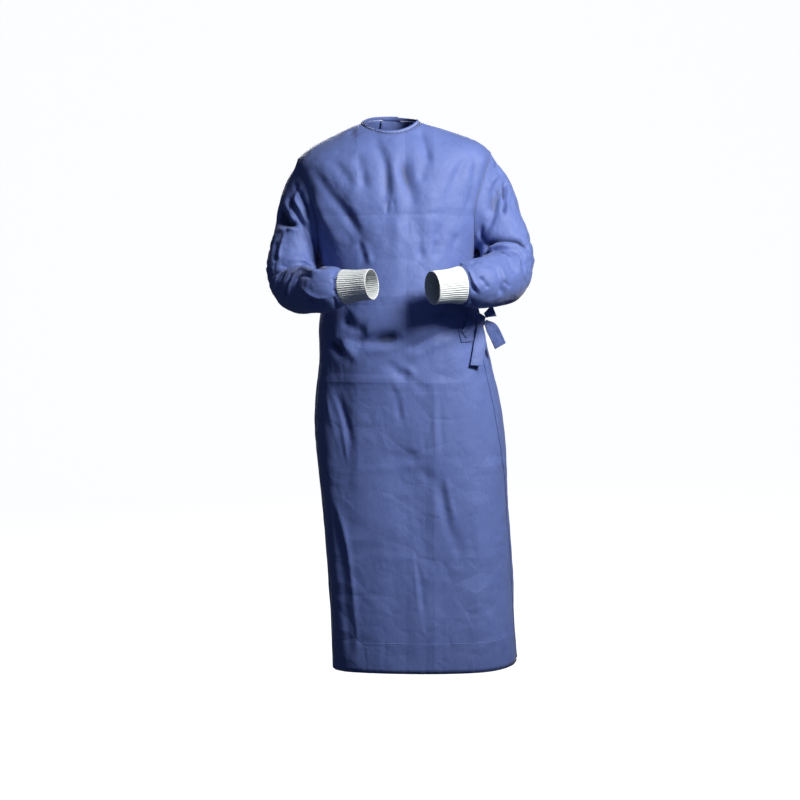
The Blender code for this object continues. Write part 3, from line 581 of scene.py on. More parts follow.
# the body panels
# Creases of the body, as the photograph shows them on the front, and alike on the hidden sides.
body = {
    "front": [
        # from the neck and shoulders down the chest
        ("dip", "-95 -18, -89 -28, -83 -38", 5, 6, "sharp"),
        ("dip", "-82 -73, -70 -105, -63 -133, -60 -167", 9, 6, "soft"),
        ("dip", "-44 -37, -22 -75, -12 -106, -9 -139, -9 -163, -10 -209", 9, 7.5, "soft"),
        ("dip", "26 -73, 32 -121, 47 -163, 52 -214", 12, 8, "soft"),
        ("dip", "-128 -72, -121 -69, -113 -75", 4, 2.5, "sharp"),
        ("dip", "-189 -97, -170 -131, -149 -162, -128 -189, -100 -219, -82 -252, -67 -287", 10, 7, "soft"),
        ("dip", "-146 -86, -118 -114, -100 -134, -87 -175", 10, 4, "soft"),
        ("ridge", "-191 -155, -165 -208, -137 -262, -110 -303", 12, 5, "soft"),
        ("dip", "-76 -278, -68 -301, -59 -329", 6, 4, "soft"),
        ("ridge", "-60 -279, -52 -306, -43 -340", 6, 3.5, "soft"),
        ("dip", "-4 -185, -8 -200, -10 -219", 4, 3, "sharp"),
        ("dip", "5 -184, 9 -202, 8 -218", 4, 2.5, "sharp"),
        ("dip", "66 -11, 77 -50, 86 -78, 88 -108", 7, 5, "soft"),
        ("dip", "79 -92, 74 -120, 71 -150", 9, 3, "soft"),
        ("dip", "186 -65, 162 -113, 143 -150, 128 -190", 10, 4, "soft"),
        ("dip", "199 -67, 200 -112, 193 -161, 180 -197, 165 -219", 9, 5, "soft"),
        ("dip", "65 -251, 68 -300, 75 -329", 7, 4, "soft"),
        ("dip", "116 -236, 107 -294, 104 -334", 8, 4.5, "soft"),
        ("dip", "158 -257, 149 -287, 141 -320", 8, 3.5, "soft"),
        ("ridge", "15 -223, 17 -267, 12 -329", 10, 3, "soft"),
        # drag folds at the waist
        ("dip", "-104 -504, -81 -511, -42 -513, 2 -506, 35 -502", 11, 13, "soft"),
        ("ridge", "-85 -533, -43 -531, 3 -523, 31 -525", 9, 5, "soft"),
        ("dip", "33 -537, 49 -525, 73 -514, 108 -495, 143 -484", 7, 7, "sharp"),
        ("ridge", "22 -555, 63 -542, 110 -516, 157 -505", 10, 4.5, "soft"),
        ("ridge", "15 -582, 33 -571, 63 -592", 5, 5, "sharp"),
        ("dip", "-151 -502, -135 -526, -118 -542, -104 -552", 8, 10, "soft"),
        ("dip", "-117 -508, -122 -522, -109 -545", 6, 6, "soft"),
        ("ridge", "-140 -492, -118 -513, -95 -538, -66 -560", 8, 4.5, "soft"),
        ("dip", "-20 -555, 17 -583, 49 -604", 8, 4.5, "soft"),
        ("dip", "77 -458, 126 -449, 181 -446", 8, 6, "soft"),
        ("dip", "-118 -457, -90 -480, -52 -493", 9, 8.5, "soft"),
        # down the skirt
        ("ridge", "-152 -618, -128 -655, -112 -717, -103 -780, -99 -808", 4, 3.2, "sharp"),
        ("dip", "-138 -620, -118 -657, -100 -713, -90 -772", 6, 4, "soft"),
        ("ridge", "-154 -627, -147 -670, -131 -733, -109 -801", 4, 2.5, "sharp"),
        ("ridge", "-1 -604, 23 -629, 30 -666, 36 -704", 4, 1.8, "sharp"),
        ("dip", "-10 -611, 14 -636, 18 -671, 24 -704", 6, 2.5, "soft"),
        ("dip", "42 -606, 68 -618, 96 -631", 7, 3.5, "soft"),
        ("dip", "139 -692, 147 -698, 157 -702", 3, 1.4, "sharp"),
        ("dip", "-10 -784, 12 -777, 39 -779, 73 -791", 7, 3.5, "soft"),
        ("dip", "50 -794, 78 -817, 101 -854", 10, 3, "soft"),
        ("ridge", "-144 -862, -125 -913, -109 -956, -96 -1023, -86 -1120, -79 -1211, -81 -1284",
         6, 5, "sharp"),
        ("dip", "-141 -881, -129 -946, -117 -1019, -107 -1122, -101 -1213, -100 -1281", 9, 5, "soft"),
        ("ridge", "42 -851, 52 -972, 55 -1040, 65 -1116, 71 -1181, 78 -1201", 4, 2.0, "sharp"),
        ("dip", "57 -989, 63 -1040, 73 -1116, 79 -1181", 5, 2.2, "soft"),
        ("dip", "109 -817, 121 -883, 137 -956, 157 -994, 170 -1044", 9, 5, "soft"),
        ("ridge", "124 -812, 136 -878, 152 -939", 5, 2.5, "soft"),
        ("ridge", "50 -951, 68 -966, 87 -979, 112 -999", 4, 1.3, "sharp"),
        ("dip", "100 -1022, 104 -1040, 106 -1064", 4, 1.3, "sharp"),
        ("dip", "78 -1059, 75 -1099, 68 -1140", 7, 2.5, "soft"),
        ("dip", "226 -1026, 233 -1097, 235 -1172", 9, 3, "soft"),
        ("dip", "74 -1198, 75 -1223, 76 -1253", 4, 1.5, "sharp"),
        ("dip", "135 -1198, 139 -1223, 142 -1256", 4, 1.5, "sharp"),
        ("dip", "-16 -1212, -13 -1247, -16 -1278", 5, 1.5, "soft"),
    ],
    "packFolds": [  # where it lay folded in its packet
        ("dip", "-171 -212, -106 -221, -52 -223, -7 -218, 38 -219, 91 -217, 162 -213", 4, 1.3, "sharp"),
        ("dip", "41 -218, 41 -244, 41 -278", 4, 1.2, "sharp"),
        ("ridge", "-165 -608, -74 -603, -13 -601, 20 -599, 67 -593, 114 -589, 177 -582", 4, 1.8, "sharp"),
        ("dip", "-165 -617, -74 -612, -13 -610, 20 -608, 67 -603, 114 -597, 177 -591", 5, 2.0, "sharp"),
        ("ridge", "101 -599, 102 -667, 103 -730, 106 -784", 4, 1.5, "sharp"),
        ("dip", "114 -622, 116 -695, 121 -784", 4, 2.0, "sharp"),
        ("ridge", "-159 -822, -74 -813, 1 -808, 80 -798, 146 -791, 219 -786, 253 -788", 4, 1.6, "sharp"),
        ("dip", "-159 -814, -74 -805, 1 -799, 80 -790, 146 -783, 219 -778, 254 -780", 4, 1.6, "sharp"),
        ("dip", "76 -683, 77 -737, 79 -786", 4, 1.3, "sharp"),
        ("ridge", "-90 -1007, -48 -1010, 4 -1014, 49 -1014, 80 -1036, 106 -1056, 164 -1046, 228 -1040",
         4, 1.3, "sharp"),
        ("dip", "-90 -1000, -48 -1003, 4 -1007, 49 -1007, 80 -1029, 106 -1049, 164 -1039, 228 -1034",
         4, 1.2, "sharp"),
        ("ridge", "-104 -975, -48 -974, 49 -972", 4, 0.9, "sharp"),
    ],
    "back": [  # hidden in the photograph, so of the same kinds and sizes
        ("dip", "-60 -60, -52 -110, -48 -170, -60 -230", 10, 5, "soft"),
        ("dip", "20 -50, 14 -120, 22 -190, 18 -250", 9, 5, "soft"),
        ("dip", "95 -58, 88 -110, 70 -165", 9, 4, "soft"),
        ("ridge", "-20 -90, -16 -160, -22 -240", 10, 3, "soft"),
        ("dip", "165 -120, 130 -180, 105 -250, 90 -310", 11, 6, "soft"),
        ("dip", "-135 -130, -110 -190, -88 -250, -80 -320", 11, 6, "soft"),
        ("dip", "-150 -330, -110 -370, -60 -390", 9, 4, "soft"),
        ("dip", "190 -380, 140 -420, 70 -440, 0 -446", 9, 6, "soft"),
        ("ridge", "185 -410, 130 -445, 60 -462", 9, 3, "soft"),
        ("dip", "205 -455, 150 -480, 80 -520, 20 -566", 9, 5, "soft"),
        ("dip", "-165 -480, -110 -500, -60 -540", 9, 5, "soft"),
        ("dip", "200 -500, 170 -560, 150 -640, 140 -720", 9, 5, "soft"),
        ("dip", "60 -560, 70 -660, 64 -780, 76 -900", 11, 5, "soft"),
        ("ridge", "30 -600, 36 -720, 30 -860", 8, 3, "soft"),
        ("dip", "-60 -600, -72 -720, -66 -860, -80 -1010", 11, 5, "soft"),
        ("dip", "-120 -760, -126 -900, -120 -1060, -130 -1200", 10, 5, "soft"),
        ("ridge", "-95 -880, -98 -1040, -92 -1210", 6, 3, "sharp"),
        ("dip", "10 -900, 2 -1040, 10 -1200", 10, 4, "soft"),
        ("dip", "130 -820, 140 -960, 134 -1110, 146 -1230", 10, 5, "soft"),
        ("ridge", "190 -700, 200 -860, 196 -1020, 206 -1200", 7, 4, "sharp"),
        ("dip", "232 -900, 240 -1040, 236 -1180", 9, 4, "soft"),
        ("dip", "-30 -1190, -26 -1230, -30 -1270", 4, 1.5, "sharp"),
        ("dip", "-150 -217, -60 -222, 40 -216, 150 -222", 4, 1.4, "sharp"),
        ("ridge", "-165 -606, -60 -600, 60 -604, 200 -598", 4, 1.6, "sharp"),
        ("dip", "-165 -614, -60 -608, 60 -612, 200 -606", 4, 1.8, "sharp"),
        ("ridge", "-160 -812, -40 -806, 90 -812, 240 -806", 4, 1.5, "sharp"),
        ("dip", "-160 -804, -40 -798, 90 -804, 240 -798", 4, 1.5, "sharp"),
        ("dip", "-150 -1016, -30 -1020, 100 -1014, 250 -1020", 4, 1.5, "sharp"),
    ],
    "right": [  # seen from the wearer's right: y z
        ("dip", "-40 -520, -20 -600, -34 -700, -20 -800", 9, 5, "soft"),
        ("dip", "40 -470, 30 -560, 44 -680, 36 -800", 9, 5, "soft"),
        ("ridge", "4 -560, 10 -680, 2 -800", 7, 3, "soft"),
        ("dip", "-60 -860, -40 -980, -54 -1100, -44 -1230", 9, 5, "soft"),
        ("dip", "50 -840, 60 -980, 50 -1120, 62 -1240", 10, 5, "soft"),
        ("ridge", "10 -900, 16 -1040, 8 -1200", 7, 4, "sharp"),
        ("dip", "-30 -380, 10 -420, 60 -440", 8, 5, "soft"),
    ],
    "left": [  # seen from the wearer's left: y z
        ("dip", "-30 -520, -46 -600, -36 -700, -50 -820", 9, 5, "soft"),
        ("dip", "36 -470, 50 -580, 40 -700, 52 -820", 9, 5, "soft"),
        ("ridge", "0 -600, 8 -720, 0 -840", 7, 3, "soft"),
        ("dip", "-40 -880, -56 -1000, -44 -1120, -54 -1220", 9, 5, "soft"),
        ("dip", "56 -860, 46 -980, 60 -1100, 50 -1220", 10, 5, "soft"),
        ("ridge", "16 -900, 6 -1040, 14 -1180", 7, 4, "sharp"),
        ("dip", "-40 -400, 10 -430, 60 -430", 8, 5, "soft"),
    ],
    "crumple": [(60, 1.0, 3.0), (26, 0.45, 9.0)],  # mm across, mm high, seed
    "waves": [(150, 3.0, 1.0, (1, 1, 0.5)), (70, 1.2, 5.0, (1, 1, 0.6))],
    "thickness": 1.0,
    "hemTop": -1.19,
    "underarm": {  # full folds of loose cloth behind the armpit, seen from that side: y z
        "right": [("ridge", "38 -280, 43 -318, 43 -352, 38 -398", 23, 33, "soft")],
        "left": [("ridge", "30 -274, 33 -308, 33 -338, 30 -386", 19, 29, "soft")],
    },
    "seamGap": 5.0,  # mm: edges nearer than this belong to one seam
    "seamShare": 0.44,  # of the way to the neighbour's edge
    "seamReach": 9.0,  # mm: the cloth beside an edge that is drawn along with it
    "pressReach": 42.0,  # mm: the cloth beside a free edge that lies down with it
}


def placed(obj, node, material):
    obj.data.materials.clear()
    obj.data.materials.append(material)
    obj.data.polygons.foreach_set("use_smooth", [True] * len(obj.data.polygons))
    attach(obj, "root")
    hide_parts(node)


def keepNumber(obj, name, values):
    held = obj.data.attributes.new(name, "FLOAT", "POINT")
    held.data.foreach_set("value", np.asarray(values, np.float32))


def thicken(obj, thickness):
    # the outer face stays where it is, and the wall goes inwards
    wall = obj.modifiers.new("thickness", "SOLIDIFY")
    wall.thickness = thickness * mm
    wall.offset = -1
    wall.use_even_offset = False
    bakeModifiers(obj)


def clearOf(points, normals, heights, others, least, share):
    # a piece that lies close to its neighbour stays clear of it
    for number in np.nonzero(heights > 0)[0]:
        start = Vector(points[number]) + Vector(normals[number]) * 0.2 * mm
        hit = others.ray_cast(start, normals[number], 0.03)
        if hit[0] is not None:
            heights[number] = min(heights[number], max(0.0, share * (hit[3] - least)))
    return heights


def drawnTogether(points, own, others):
    # the cut edges are sewn: each is drawn nearly half way to its neighbour's edge
    edges, neighbours, shifts = treeOf(own), treeOf(others), np.zeros((len(own), 3))
    for number, point in enumerate(own):
        spot, _, gap = neighbours.find(point)
        if gap < body["seamGap"] * mm:
            shifts[number] = body["seamShare"] * (np.array(spot) - point)
    moved = points.copy()
    for number, point in enumerate(points):
        _, nearest, gap = edges.find(point)
        if gap < body["seamReach"] * mm:
            moved[number] += shifts[nearest] * (1 - gap / (body["seamReach"] * mm))
    return moved


def pressedOn(points, normals, edge, under):
    # a free edge lies down on the panel below it
    near = distancesTo(points, edge) / mm
    moved = points.copy()
    for number in np.nonzero(near < body["pressReach"])[0]:
        hit = under.ray_cast(Vector(points[number]), -Vector(normals[number]), 0.015)
        if hit[0] is not None:
            sink = max(0.0, hit[3] - (body["thickness"] + 0.6) * mm)
            moved[number] -= normals[number] * sink * eased(1 - near[number] / body["pressReach"])
    return moved


def smoothed(obj, rounds):
    # takes the saw teeth off steep folds
    bm = bmesh.new()
    bm.from_mesh(obj.data)
    relax(bm, rounds)
    bm.to_mesh(obj.data)
    bm.free()


armholeCorners = {  # the top of each armhole and the armpit, where the seams meet
    "sleeve_right": [(-0.222, 0.0, -0.083), (-0.170, 0.0, -0.312)],
    "sleeve_left": [(0.237, 0.0, -0.066), (0.198, 0.0, -0.308)],
}
panelSides = {"front_panel": ("sleeve_right", "sleeve_left"),
              "back_wrap_panel": ("sleeve_right",), "back_under_panel": ("sleeve_left",)}
sheets = {}
for name, sides in panelSides.items():
    corners = [corner for side in sides for corner in armholeCorners[side]]
    sheets[name] = outerCloth(name, 1, 3, 4, corners)
for name, corners in armholeCorners.items():
    sheets[name] = outerCloth(name, 3, corners=corners)
print("cloth sheets ready", {n: len(o.data.polygons) for n, o in sheets.items()})

bodySurface = surfaceOf([sheets[name] for name in bodyPanels])
sleeveSurface = surfaceOf([sheets[name] for name in armholeCorners])
bodyCreases = [creaseOn(bodySurface, "front", row) for row in body["front"] + body["packFolds"]]
for side in ("back", "right", "left"):
    bodyCreases += [creaseOn(bodySurface, side, row) for row in body[side]]
underarmFolds = [creaseOn(bodySurface, side, row)
                 for side, rows in body["underarm"].items() for row in rows]
joins = np.concatenate([borderPoints(sheets[name]) for name in armholeCorners]
                       + [pointsOf(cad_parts["neck_binding"])])
borders = {name: borderPoints(sheet) for name, sheet in sheets.items()}


def otherEdges(name):
    return np.concatenate([edge for other, edge in borders.items() if other != name])


def shapeBody(name):
    sheet = sheets[name]
    points, normals = pointsOf(sheet), pointsOf(sheet, "normal")
    heights = creaseHeights(points, bodyCreases)
    for cell, high, seed in body["crumple"]:
        share = 0.5 + 0.5 * np.clip(2 * waves(points, 220, seed + 20), -1, 1)
        heights += high * mm * share * crumple(points, cell, seed)
    for cell, high, seed, stretch in body["waves"]:
        heights += high * mm * waves(points, cell, seed, stretch)
    heights *= eased(distancesTo(points, joins) / (22 * mm))
    heights += creaseHeights(points, underarmFolds) * eased(distancesTo(points, joins) / (7 * mm))
    heights = clearOf(points, normals, heights, sleeveSurface, 5 * mm, 0.85)
    edge = borders[name]
    hem = edge[edge[:, 2] < body["hemTop"] - 0.06]
    hem = hem[np.abs(hem[:, 2] - hem[:, 2].min()) < 0.03]
    keepNumber(sheet, "edgeDistance", distancesTo(points, edge) / mm)
    keepNumber(sheet, "hemDistance", distancesTo(points, hem) / mm)
    # foldDepth also sets how much shade is painted into the deepest folds
    keepNumber(sheet, "foldDepth", -heights / mm)
    points = drawnTogether(points, edge, otherEdges(name)) + normals * heights[:, None]
    if name == "back_wrap_panel":
        under = surfaceOf([sheets["front_panel"], sheets["back_under_panel"]])
        pressed = pressedOn(points, normals, edge, under)
        neck = pointsOf(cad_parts["neck_binding"])
        fromNeck = eased(distancesTo(points, neck) / (60 * mm))  # the neck tab holds it there
        points = points + (pressed - points) * fromNeck[:, None]
    moveTo(sheet, points)
    smoothed(sheet, 1)
    thicken(sheet, body["thickness"])
    placed(sheet, name, gownCloth)


for name in ("front_panel", "back_under_panel", "back_wrap_panel"):
    shapeBody(name)
    print("shaped", name)


# the sleeves
sleeves = {
    "sleeve_right": {
        "front": [
            ("dip", "-203 -128, -196 -160, -187 -202", 5, 6, "sharp"),
            ("ridge", "-212 -132, -202 -166, -192 -202", 4, 3.5, "sharp"),
            ("dip", "-230 -135, -215 -171, -199 -202, -192 -237", 5, 8, "sharp"),
            ("ridge", "-254 -137, -231 -177, -212 -205, -195 -246", 5, 5, "sharp"),
            ("dip", "-245 -172, -230 -208, -215 -232, -201 -251", 5, 7, "sharp"),
            ("ridge", "-248 -186, -242 -218, -224 -235", 5, 3, "sharp"),
            ("dip", "-276 -226, -263 -231, -241 -237, -214 -243", 9, 16, "sharp"),
            ("dip", "-272 -208, -258 -220, -243 -232", 11, 9, "soft"),
            ("ridge", "-270 -250, -246 -252, -216 -254", 5, 4, "soft"),
            ("ridge", "-247 -250, -262 -293, -262 -329", 5, 4, "sharp"),
            ("ridge", "-207 -246, -189 -287, -180 -329", 5, 4, "sharp"),
            ("ridge", "-248 -250, -228 -252, -207 -250", 5, 4, "sharp"),
            ("dip", "-274 -277, -274 -305, -270 -329", 5, 5, "soft"),
            ("dip", "-274 -339, -240 -339, -217 -336, -188 -338, -166 -340, -136 -345", 6.5, 17, "sharp"),
            ("ridge", "-251 -348, -268 -378, -277 -409", 4, 3.5, "sharp"),
            ("dip", "-242 -348, -261 -386, -266 -415", 4.5, 5, "sharp"),
            ("dip", "-224 -353, -243 -389, -247 -419", 5, 5.5, "sharp"),
            ("ridge", "-218 -356, -230 -383, -234 -424", 4, 4, "sharp"),
            ("dip", "-210 -359, -216 -386, -223 -414", 5, 4.5, "sharp"),
            ("ridge", "-222 -352, -200 -343, -181 -352, -155 -354", 5, 4, "soft"),
            ("dip", "-212 -364, -193 -360, -178 -367", 4.5, 3, "sharp"),
            ("ridge", "-209 -380, -179 -406, -156 -413, -134 -406", 4, 3.5, "sharp"),
            ("dip", "-200 -414, -174 -424, -146 -422", 8, 6, "soft"),
            ("dip", "-129 -361, -124 -385, -123 -406", 5, 3, "soft"),
            ("dip", "-130 -406, -125 -422, -122 -437", 4, 4, "sharp"),
            ("ridge", "-122 -401, -115 -416, -115 -432", 3.5, 3, "sharp"),
            ("dip", "-115 -364, -124 -373, -128 -375", 3, 2.5, "sharp"),
            ("dip", "-115 -387, -125 -393, -130 -395", 3, 2.5, "sharp"),
        ],
        "back": [
            ("dip", "-226 -130, -232 -170, -240 -210", 7, 5, "soft"),
            ("dip", "-200 -150, -206 -200, -216 -250", 6, 6, "sharp"),
            ("ridge", "-250 -160, -246 -210, -250 -260", 6, 4, "soft"),
            ("dip", "-266 -232, -244 -258, -226 -292", 6, 6, "sharp"),
            ("dip", "-278 -296, -258 -334, -228 -352", 7, 7, "sharp"),
            ("ridge", "-270 -270, -250 -300, -238 -336", 5, 4, "soft"),
            ("dip", "-250 -392, -226 -372, -212 -340", 6, 5, "sharp"),
        ],
        "side": [
            ("dip", "-40 -150, -30 -190, -36 -230", 7, 5, "soft"),
            ("dip", "20 -140, 26 -200, 16 -260", 7, 5, "soft"),
            ("dip", "-70 -280, -30 -300, 20 -290", 6, 6, "sharp"),
            ("dip", "-110 -350, -60 -366, -20 -400", 6, 6, "sharp"),
            ("ridge", "-100 -330, -50 -342, 0 -360", 6, 4, "soft"),
            ("dip", "-150 -380, -110 -396, -60 -420", 6, 5, "sharp"),
            ("dip", "-40 -330, -10 -370, -8 -400", 6, 5, "sharp"),
        ],
        "lookSide": "right",
        "elbow": (-0.255, -0.03, -0.36),
    },
    "sleeve_left": {
        "front": [
            ("dip", "216 -126, 220 -143, 222 -164", 4, 5, "sharp"),
            ("ridge", "223 -162, 237 -148, 256 -116", 4, 4, "sharp"),
            ("dip", "251 -126, 240 -184, 227 -230", 6, 5, "soft"),
            ("dip", "263 -137, 249 -202, 234 -242, 218 -267", 6, 5.5, "soft"),
            ("dip", "274 -133, 270 -177, 267 -221", 5, 11, "sharp"),
            ("ridge", "281 -143, 278 -182, 275 -221", 4, 3, "soft"),
            ("dip", "248 -86, 257 -105, 267 -131", 6, 4, "soft"),
            ("dip", "218 -234, 208 -269, 203 -300", 5, 6, "soft"),
            ("dip", "204 -310, 221 -292, 238 -279, 262 -275, 295 -276, 316 -286, 332 -306", 6, 18, "sharp"),
            ("ridge", "212 -311, 227 -300, 245 -291, 266 -289, 290 -293", 5, 3.5, "soft"),
            ("dip", "238 -298, 257 -306, 282 -319", 4, 8, "sharp"),
            ("dip", "174 -328, 205 -330, 233 -344", 7, 4.5, "soft"),
            ("ridge", "190 -318, 207 -317, 236 -327", 7, 3, "soft"),
            ("dip", "268 -319, 281 -339, 285 -359", 5, 5, "soft"),
            ("dip", "301 -301, 308 -330, 307 -361", 6, 5.5, "soft"),
            ("ridge", "290 -306, 296 -334, 296 -364", 5, 3.5, "soft"),
            ("dip", "238 -335, 248 -380, 253 -410", 5.5, 5, "soft"),
            ("ridge", "248 -332, 259 -375, 264 -402", 5, 3.5, "soft"),
            ("dip", "255 -372, 266 -381, 276 -387", 4, 5, "sharp"),
            ("dip", "201 -362, 213 -376, 223 -390", 4, 4.5, "sharp"),
            ("dip", "165 -356, 180 -380, 200 -407", 4, 5, "sharp"),
            ("ridge", "172 -356, 191 -379, 211 -404", 4, 4, "sharp"),
            ("dip", "162 -373, 169 -398, 171 -417", 3.2, 3.5, "sharp"),
            ("ridge", "166 -364, 176 -392, 178 -416", 3.2, 3, "sharp"),
            ("dip", "162 -414, 172 -425, 183 -434", 4, 4, "sharp"),
            ("dip", "181 -413, 191 -424, 200 -432", 4, 4, "sharp"),
            ("dip", "160 -348, 169 -343, 178 -343", 3.2, 2.5, "sharp"),
        ],
        "back": [
            ("dip", "240 -110, 250 -150, 256 -200", 7, 5, "soft"),
            ("dip", "220 -140, 228 -190, 240 -236", 6, 6, "sharp"),
            ("ridge", "270 -140, 272 -190, 280 -230", 6, 4, "soft"),
            ("dip", "306 -208, 284 -240, 262 -276", 6, 6, "sharp"),
            ("dip", "324 -276, 300 -316, 268 -332", 7, 7, "sharp"),
            ("ridge", "312 -246, 292 -280, 276 -316", 5, 4, "soft"),
            ("dip", "294 -374, 268 -352, 250 -318", 6, 5, "sharp"),
        ],
        "side": [
            ("dip", "-40 -130, -30 -170, -36 -220", 7, 5, "soft"),
            ("dip", "20 -120, 26 -180, 16 -240", 7, 5, "soft"),
            ("dip", "-70 -262, -30 -284, 20 -276", 6, 6, "sharp"),
            ("dip", "-110 -330, -60 -346, -20 -376", 6, 6, "sharp"),
            ("ridge", "-100 -312, -50 -324, 0 -336", 6, 4, "soft"),
            ("dip", "-150 -366, -110 -382, -60 -400", 6, 5, "sharp"),
            ("dip", "-40 -312, -10 -350, -8 -376", 6, 5, "sharp"),
        ],
        "lookSide": "left",
        "elbow": (0.30, -0.03, -0.33),
    },
    "crumple": [(34, 1.6, 14.0), (17, 0.7, 17.0)],
    "waves": [(80, 2.6, 23.0, (1, 1, 1)), (36, 1.2, 27.0, (1, 1, 1))],
    "thickness": 1.0,
    "foldGain": 1.3,  # the elbows' folds are as deep as the strongest ones shown
    "hiddenGain": 0.6,
    "elbowReach": 170,  # mm from the elbow over which the cloth is crumpled most
}


def shapeSleeve(name):
    sheet, own = sheets[name], sleeves[name]
    surface = surfaceOf([sheet])
    points, normals = pointsOf(sheet), pointsOf(sheet, "normal")
    shown = [creaseOn(surface, "front", row) for row in own["front"]]
    hidden = [creaseOn(surface, "back", row) for row in own["back"]]
    hidden += [creaseOn(surface, own["lookSide"], row) for row in own["side"]]
    heights = sleeves["foldGain"] * creaseHeights(points, shown)
    heights += sleeves["hiddenGain"] * creaseHeights(points, hidden)
    fromElbow = np.linalg.norm(points - np.array(own["elbow"]), axis=1) / mm
    loose = 0.35 + 0.65 * eased(1 - fromElbow / sleeves["elbowReach"])
    for cell, high, seed in sleeves["crumple"]:
        heights += high * mm * loose * crumple(points, cell, seed)
    for cell, high, seed, stretch in sleeves["waves"]:
        heights += high * mm * waves(points, cell, seed, stretch)
    edge = borders[name]
    panels = np.concatenate([borders[other] for other in bodyPanels])
    cuff = pointsOf(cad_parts[name.replace("sleeve", "cuff")])
    heights *= eased(distancesTo(points, panels) / (22 * mm))
    heights *= eased(distancesTo(points, cuff) / (9 * mm))
    heights = clearOf(points, normals, heights, shapedBody, 2.5 * mm, 0.9)
    keepNumber(sheet, "edgeDistance", distancesTo(points, edge) / mm)
    keepNumber(sheet, "hemDistance", np.full(len(points), 500.0))
    # foldDepth also sets how much shade is painted into the deepest folds
    keepNumber(sheet, "foldDepth", -heights / mm)
    moveTo(sheet, drawnTogether(points, edge, panels) + normals * heights[:, None])
    smoothed(sheet, 1)
    thicken(sheet, sleeves["thickness"])
    placed(sheet, name, sleeveCloth)


shapedBody = surfaceOf([sheets[name] for name in bodyPanels])
for name in armholeCorners:
    shapeSleeve(name)
    print("shaped", name)


# the knit cuffs
cuffs = {
    "ribs": 46,
    "ribHeight": 0.8,  # mm
    "thickness": 1.4,
}


def shapeCuff(name):
    cuff = outerCloth(name, 3)
    points, normals = pointsOf(cuff), pointsOf(cuff, "normal")
    middle = points.mean(0)
    # the cuff's own axis: the direction its two open ends lie apart
    spread = np.linalg.eigh(np.cov((points - middle).T))
    ways = spread[1].T
    edge = borderPoints(cuff)
    axis = max(ways, key=lambda way: np.abs(((edge - middle) @ way)).min())
    along = (points - middle) @ axis
    side = np.cross(axis, (0, 0, 1))
    side /= np.linalg.norm(side)
    up = np.cross(side, axis)
    turn = np.arctan2((points - middle) @ side, (points - middle) @ up)
    ends = eased((np.abs(along).max() - np.abs(along)) / (8 * mm))
    wave = np.cos(turn * cuffs["ribs"])
    heights = cuffs["ribHeight"] * mm * (0.35 + 0.65 * ends) * np.sign(wave) * np.abs(wave) ** 0.7
    heights += 0.8 * mm * waves(points, 30, 41.0) * ends
    moveTo(cuff, points + normals * heights[:, None])
    layer = cuff.data.uv_layers.new(name="round")
    flat = np.stack([turn * 40, along / mm], 1)
    corner = np.empty(len(cuff.data.loops), np.int32)
    cuff.data.loops.foreach_get("vertex_index", corner)
    layer.data.foreach_set("uv", flat[corner].astype(np.float32).ravel())
    thicken(cuff, cuffs["thickness"])
    placed(cuff, name, knit)


for name in ("cuff_right", "cuff_left"):
    shapeCuff(name)
print("cuffs ready")


# the neck binding
binding = {"stitch": 3.2, "gap": 1.3, "threadWidth": 0.75, "up": 0.42}


def wholeNode(name, levels):
    # a copy of the node's solid, merged and smoothed
    bm = bmesh.new()
    bm.from_mesh(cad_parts[name].data)
    bmesh.ops.remove_doubles(bm, verts=bm.verts, dist=0.01 * mm)
    bmesh.ops.join_triangles(bm, faces=bm.faces, angle_face_threshold=math.radians(40),
                             angle_shape_threshold=math.pi)
    mesh = bpy.data.meshes.new(name + "_cloth")
    bm.to_mesh(mesh)
    bm.free()
    obj = bpy.data.objects.new(name + "_cloth", mesh)
    bpy.context.scene.collection.objects.link(obj)
    smoother = obj.modifiers.new("smoother", "SUBSURF")
    smoother.levels = smoother.render_levels = levels
    bakeModifiers(obj)
    return obj


def stitchesAlong(name, rows, outwards):
    # short thread loops lying end to end on the cloth
    bm = bmesh.new()
    step = (binding["stitch"] + binding["gap"]) * mm
    for row in rows:
        run = np.concatenate([[0], np.cumsum(np.linalg.norm(np.diff(row, axis=0), axis=1))])
        for at in np.arange(step, run[-1] - step, step):
            spot, ahead = (np.array([np.interp(s, run, row[:, k]) for k in range(3)])
                           for s in (at, at + 0.5 * step))
            way = Vector(ahead - spot).normalized()
            lift = Vector(outwards(spot)) * 0.45 * mm
            made = bmesh.ops.create_cone(bm, segments=6, cap_ends=True,
                                         radius1=0.5 * binding["threadWidth"] * mm,
                                         radius2=0.5 * binding["threadWidth"] * mm,
                                         depth=binding["stitch"] * mm)["verts"]
            turn = way.to_track_quat("Z", "Y").to_matrix().to_4x4()
            bmesh.ops.transform(bm, verts=made,
                                matrix=Matrix.Translation(Vector(spot) + lift) @ turn)
    mesh = bpy.data.meshes.new(name)
    bm.to_mesh(mesh)
    bm.free()
    obj = bpy.data.objects.new(name, mesh)
    bpy.context.scene.collection.objects.link(obj)
    obj.data.materials.append(thread)
    obj.data.polygons.foreach_set("use_smooth", [True] * len(obj.data.polygons))
    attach(obj, "root")
    return obj


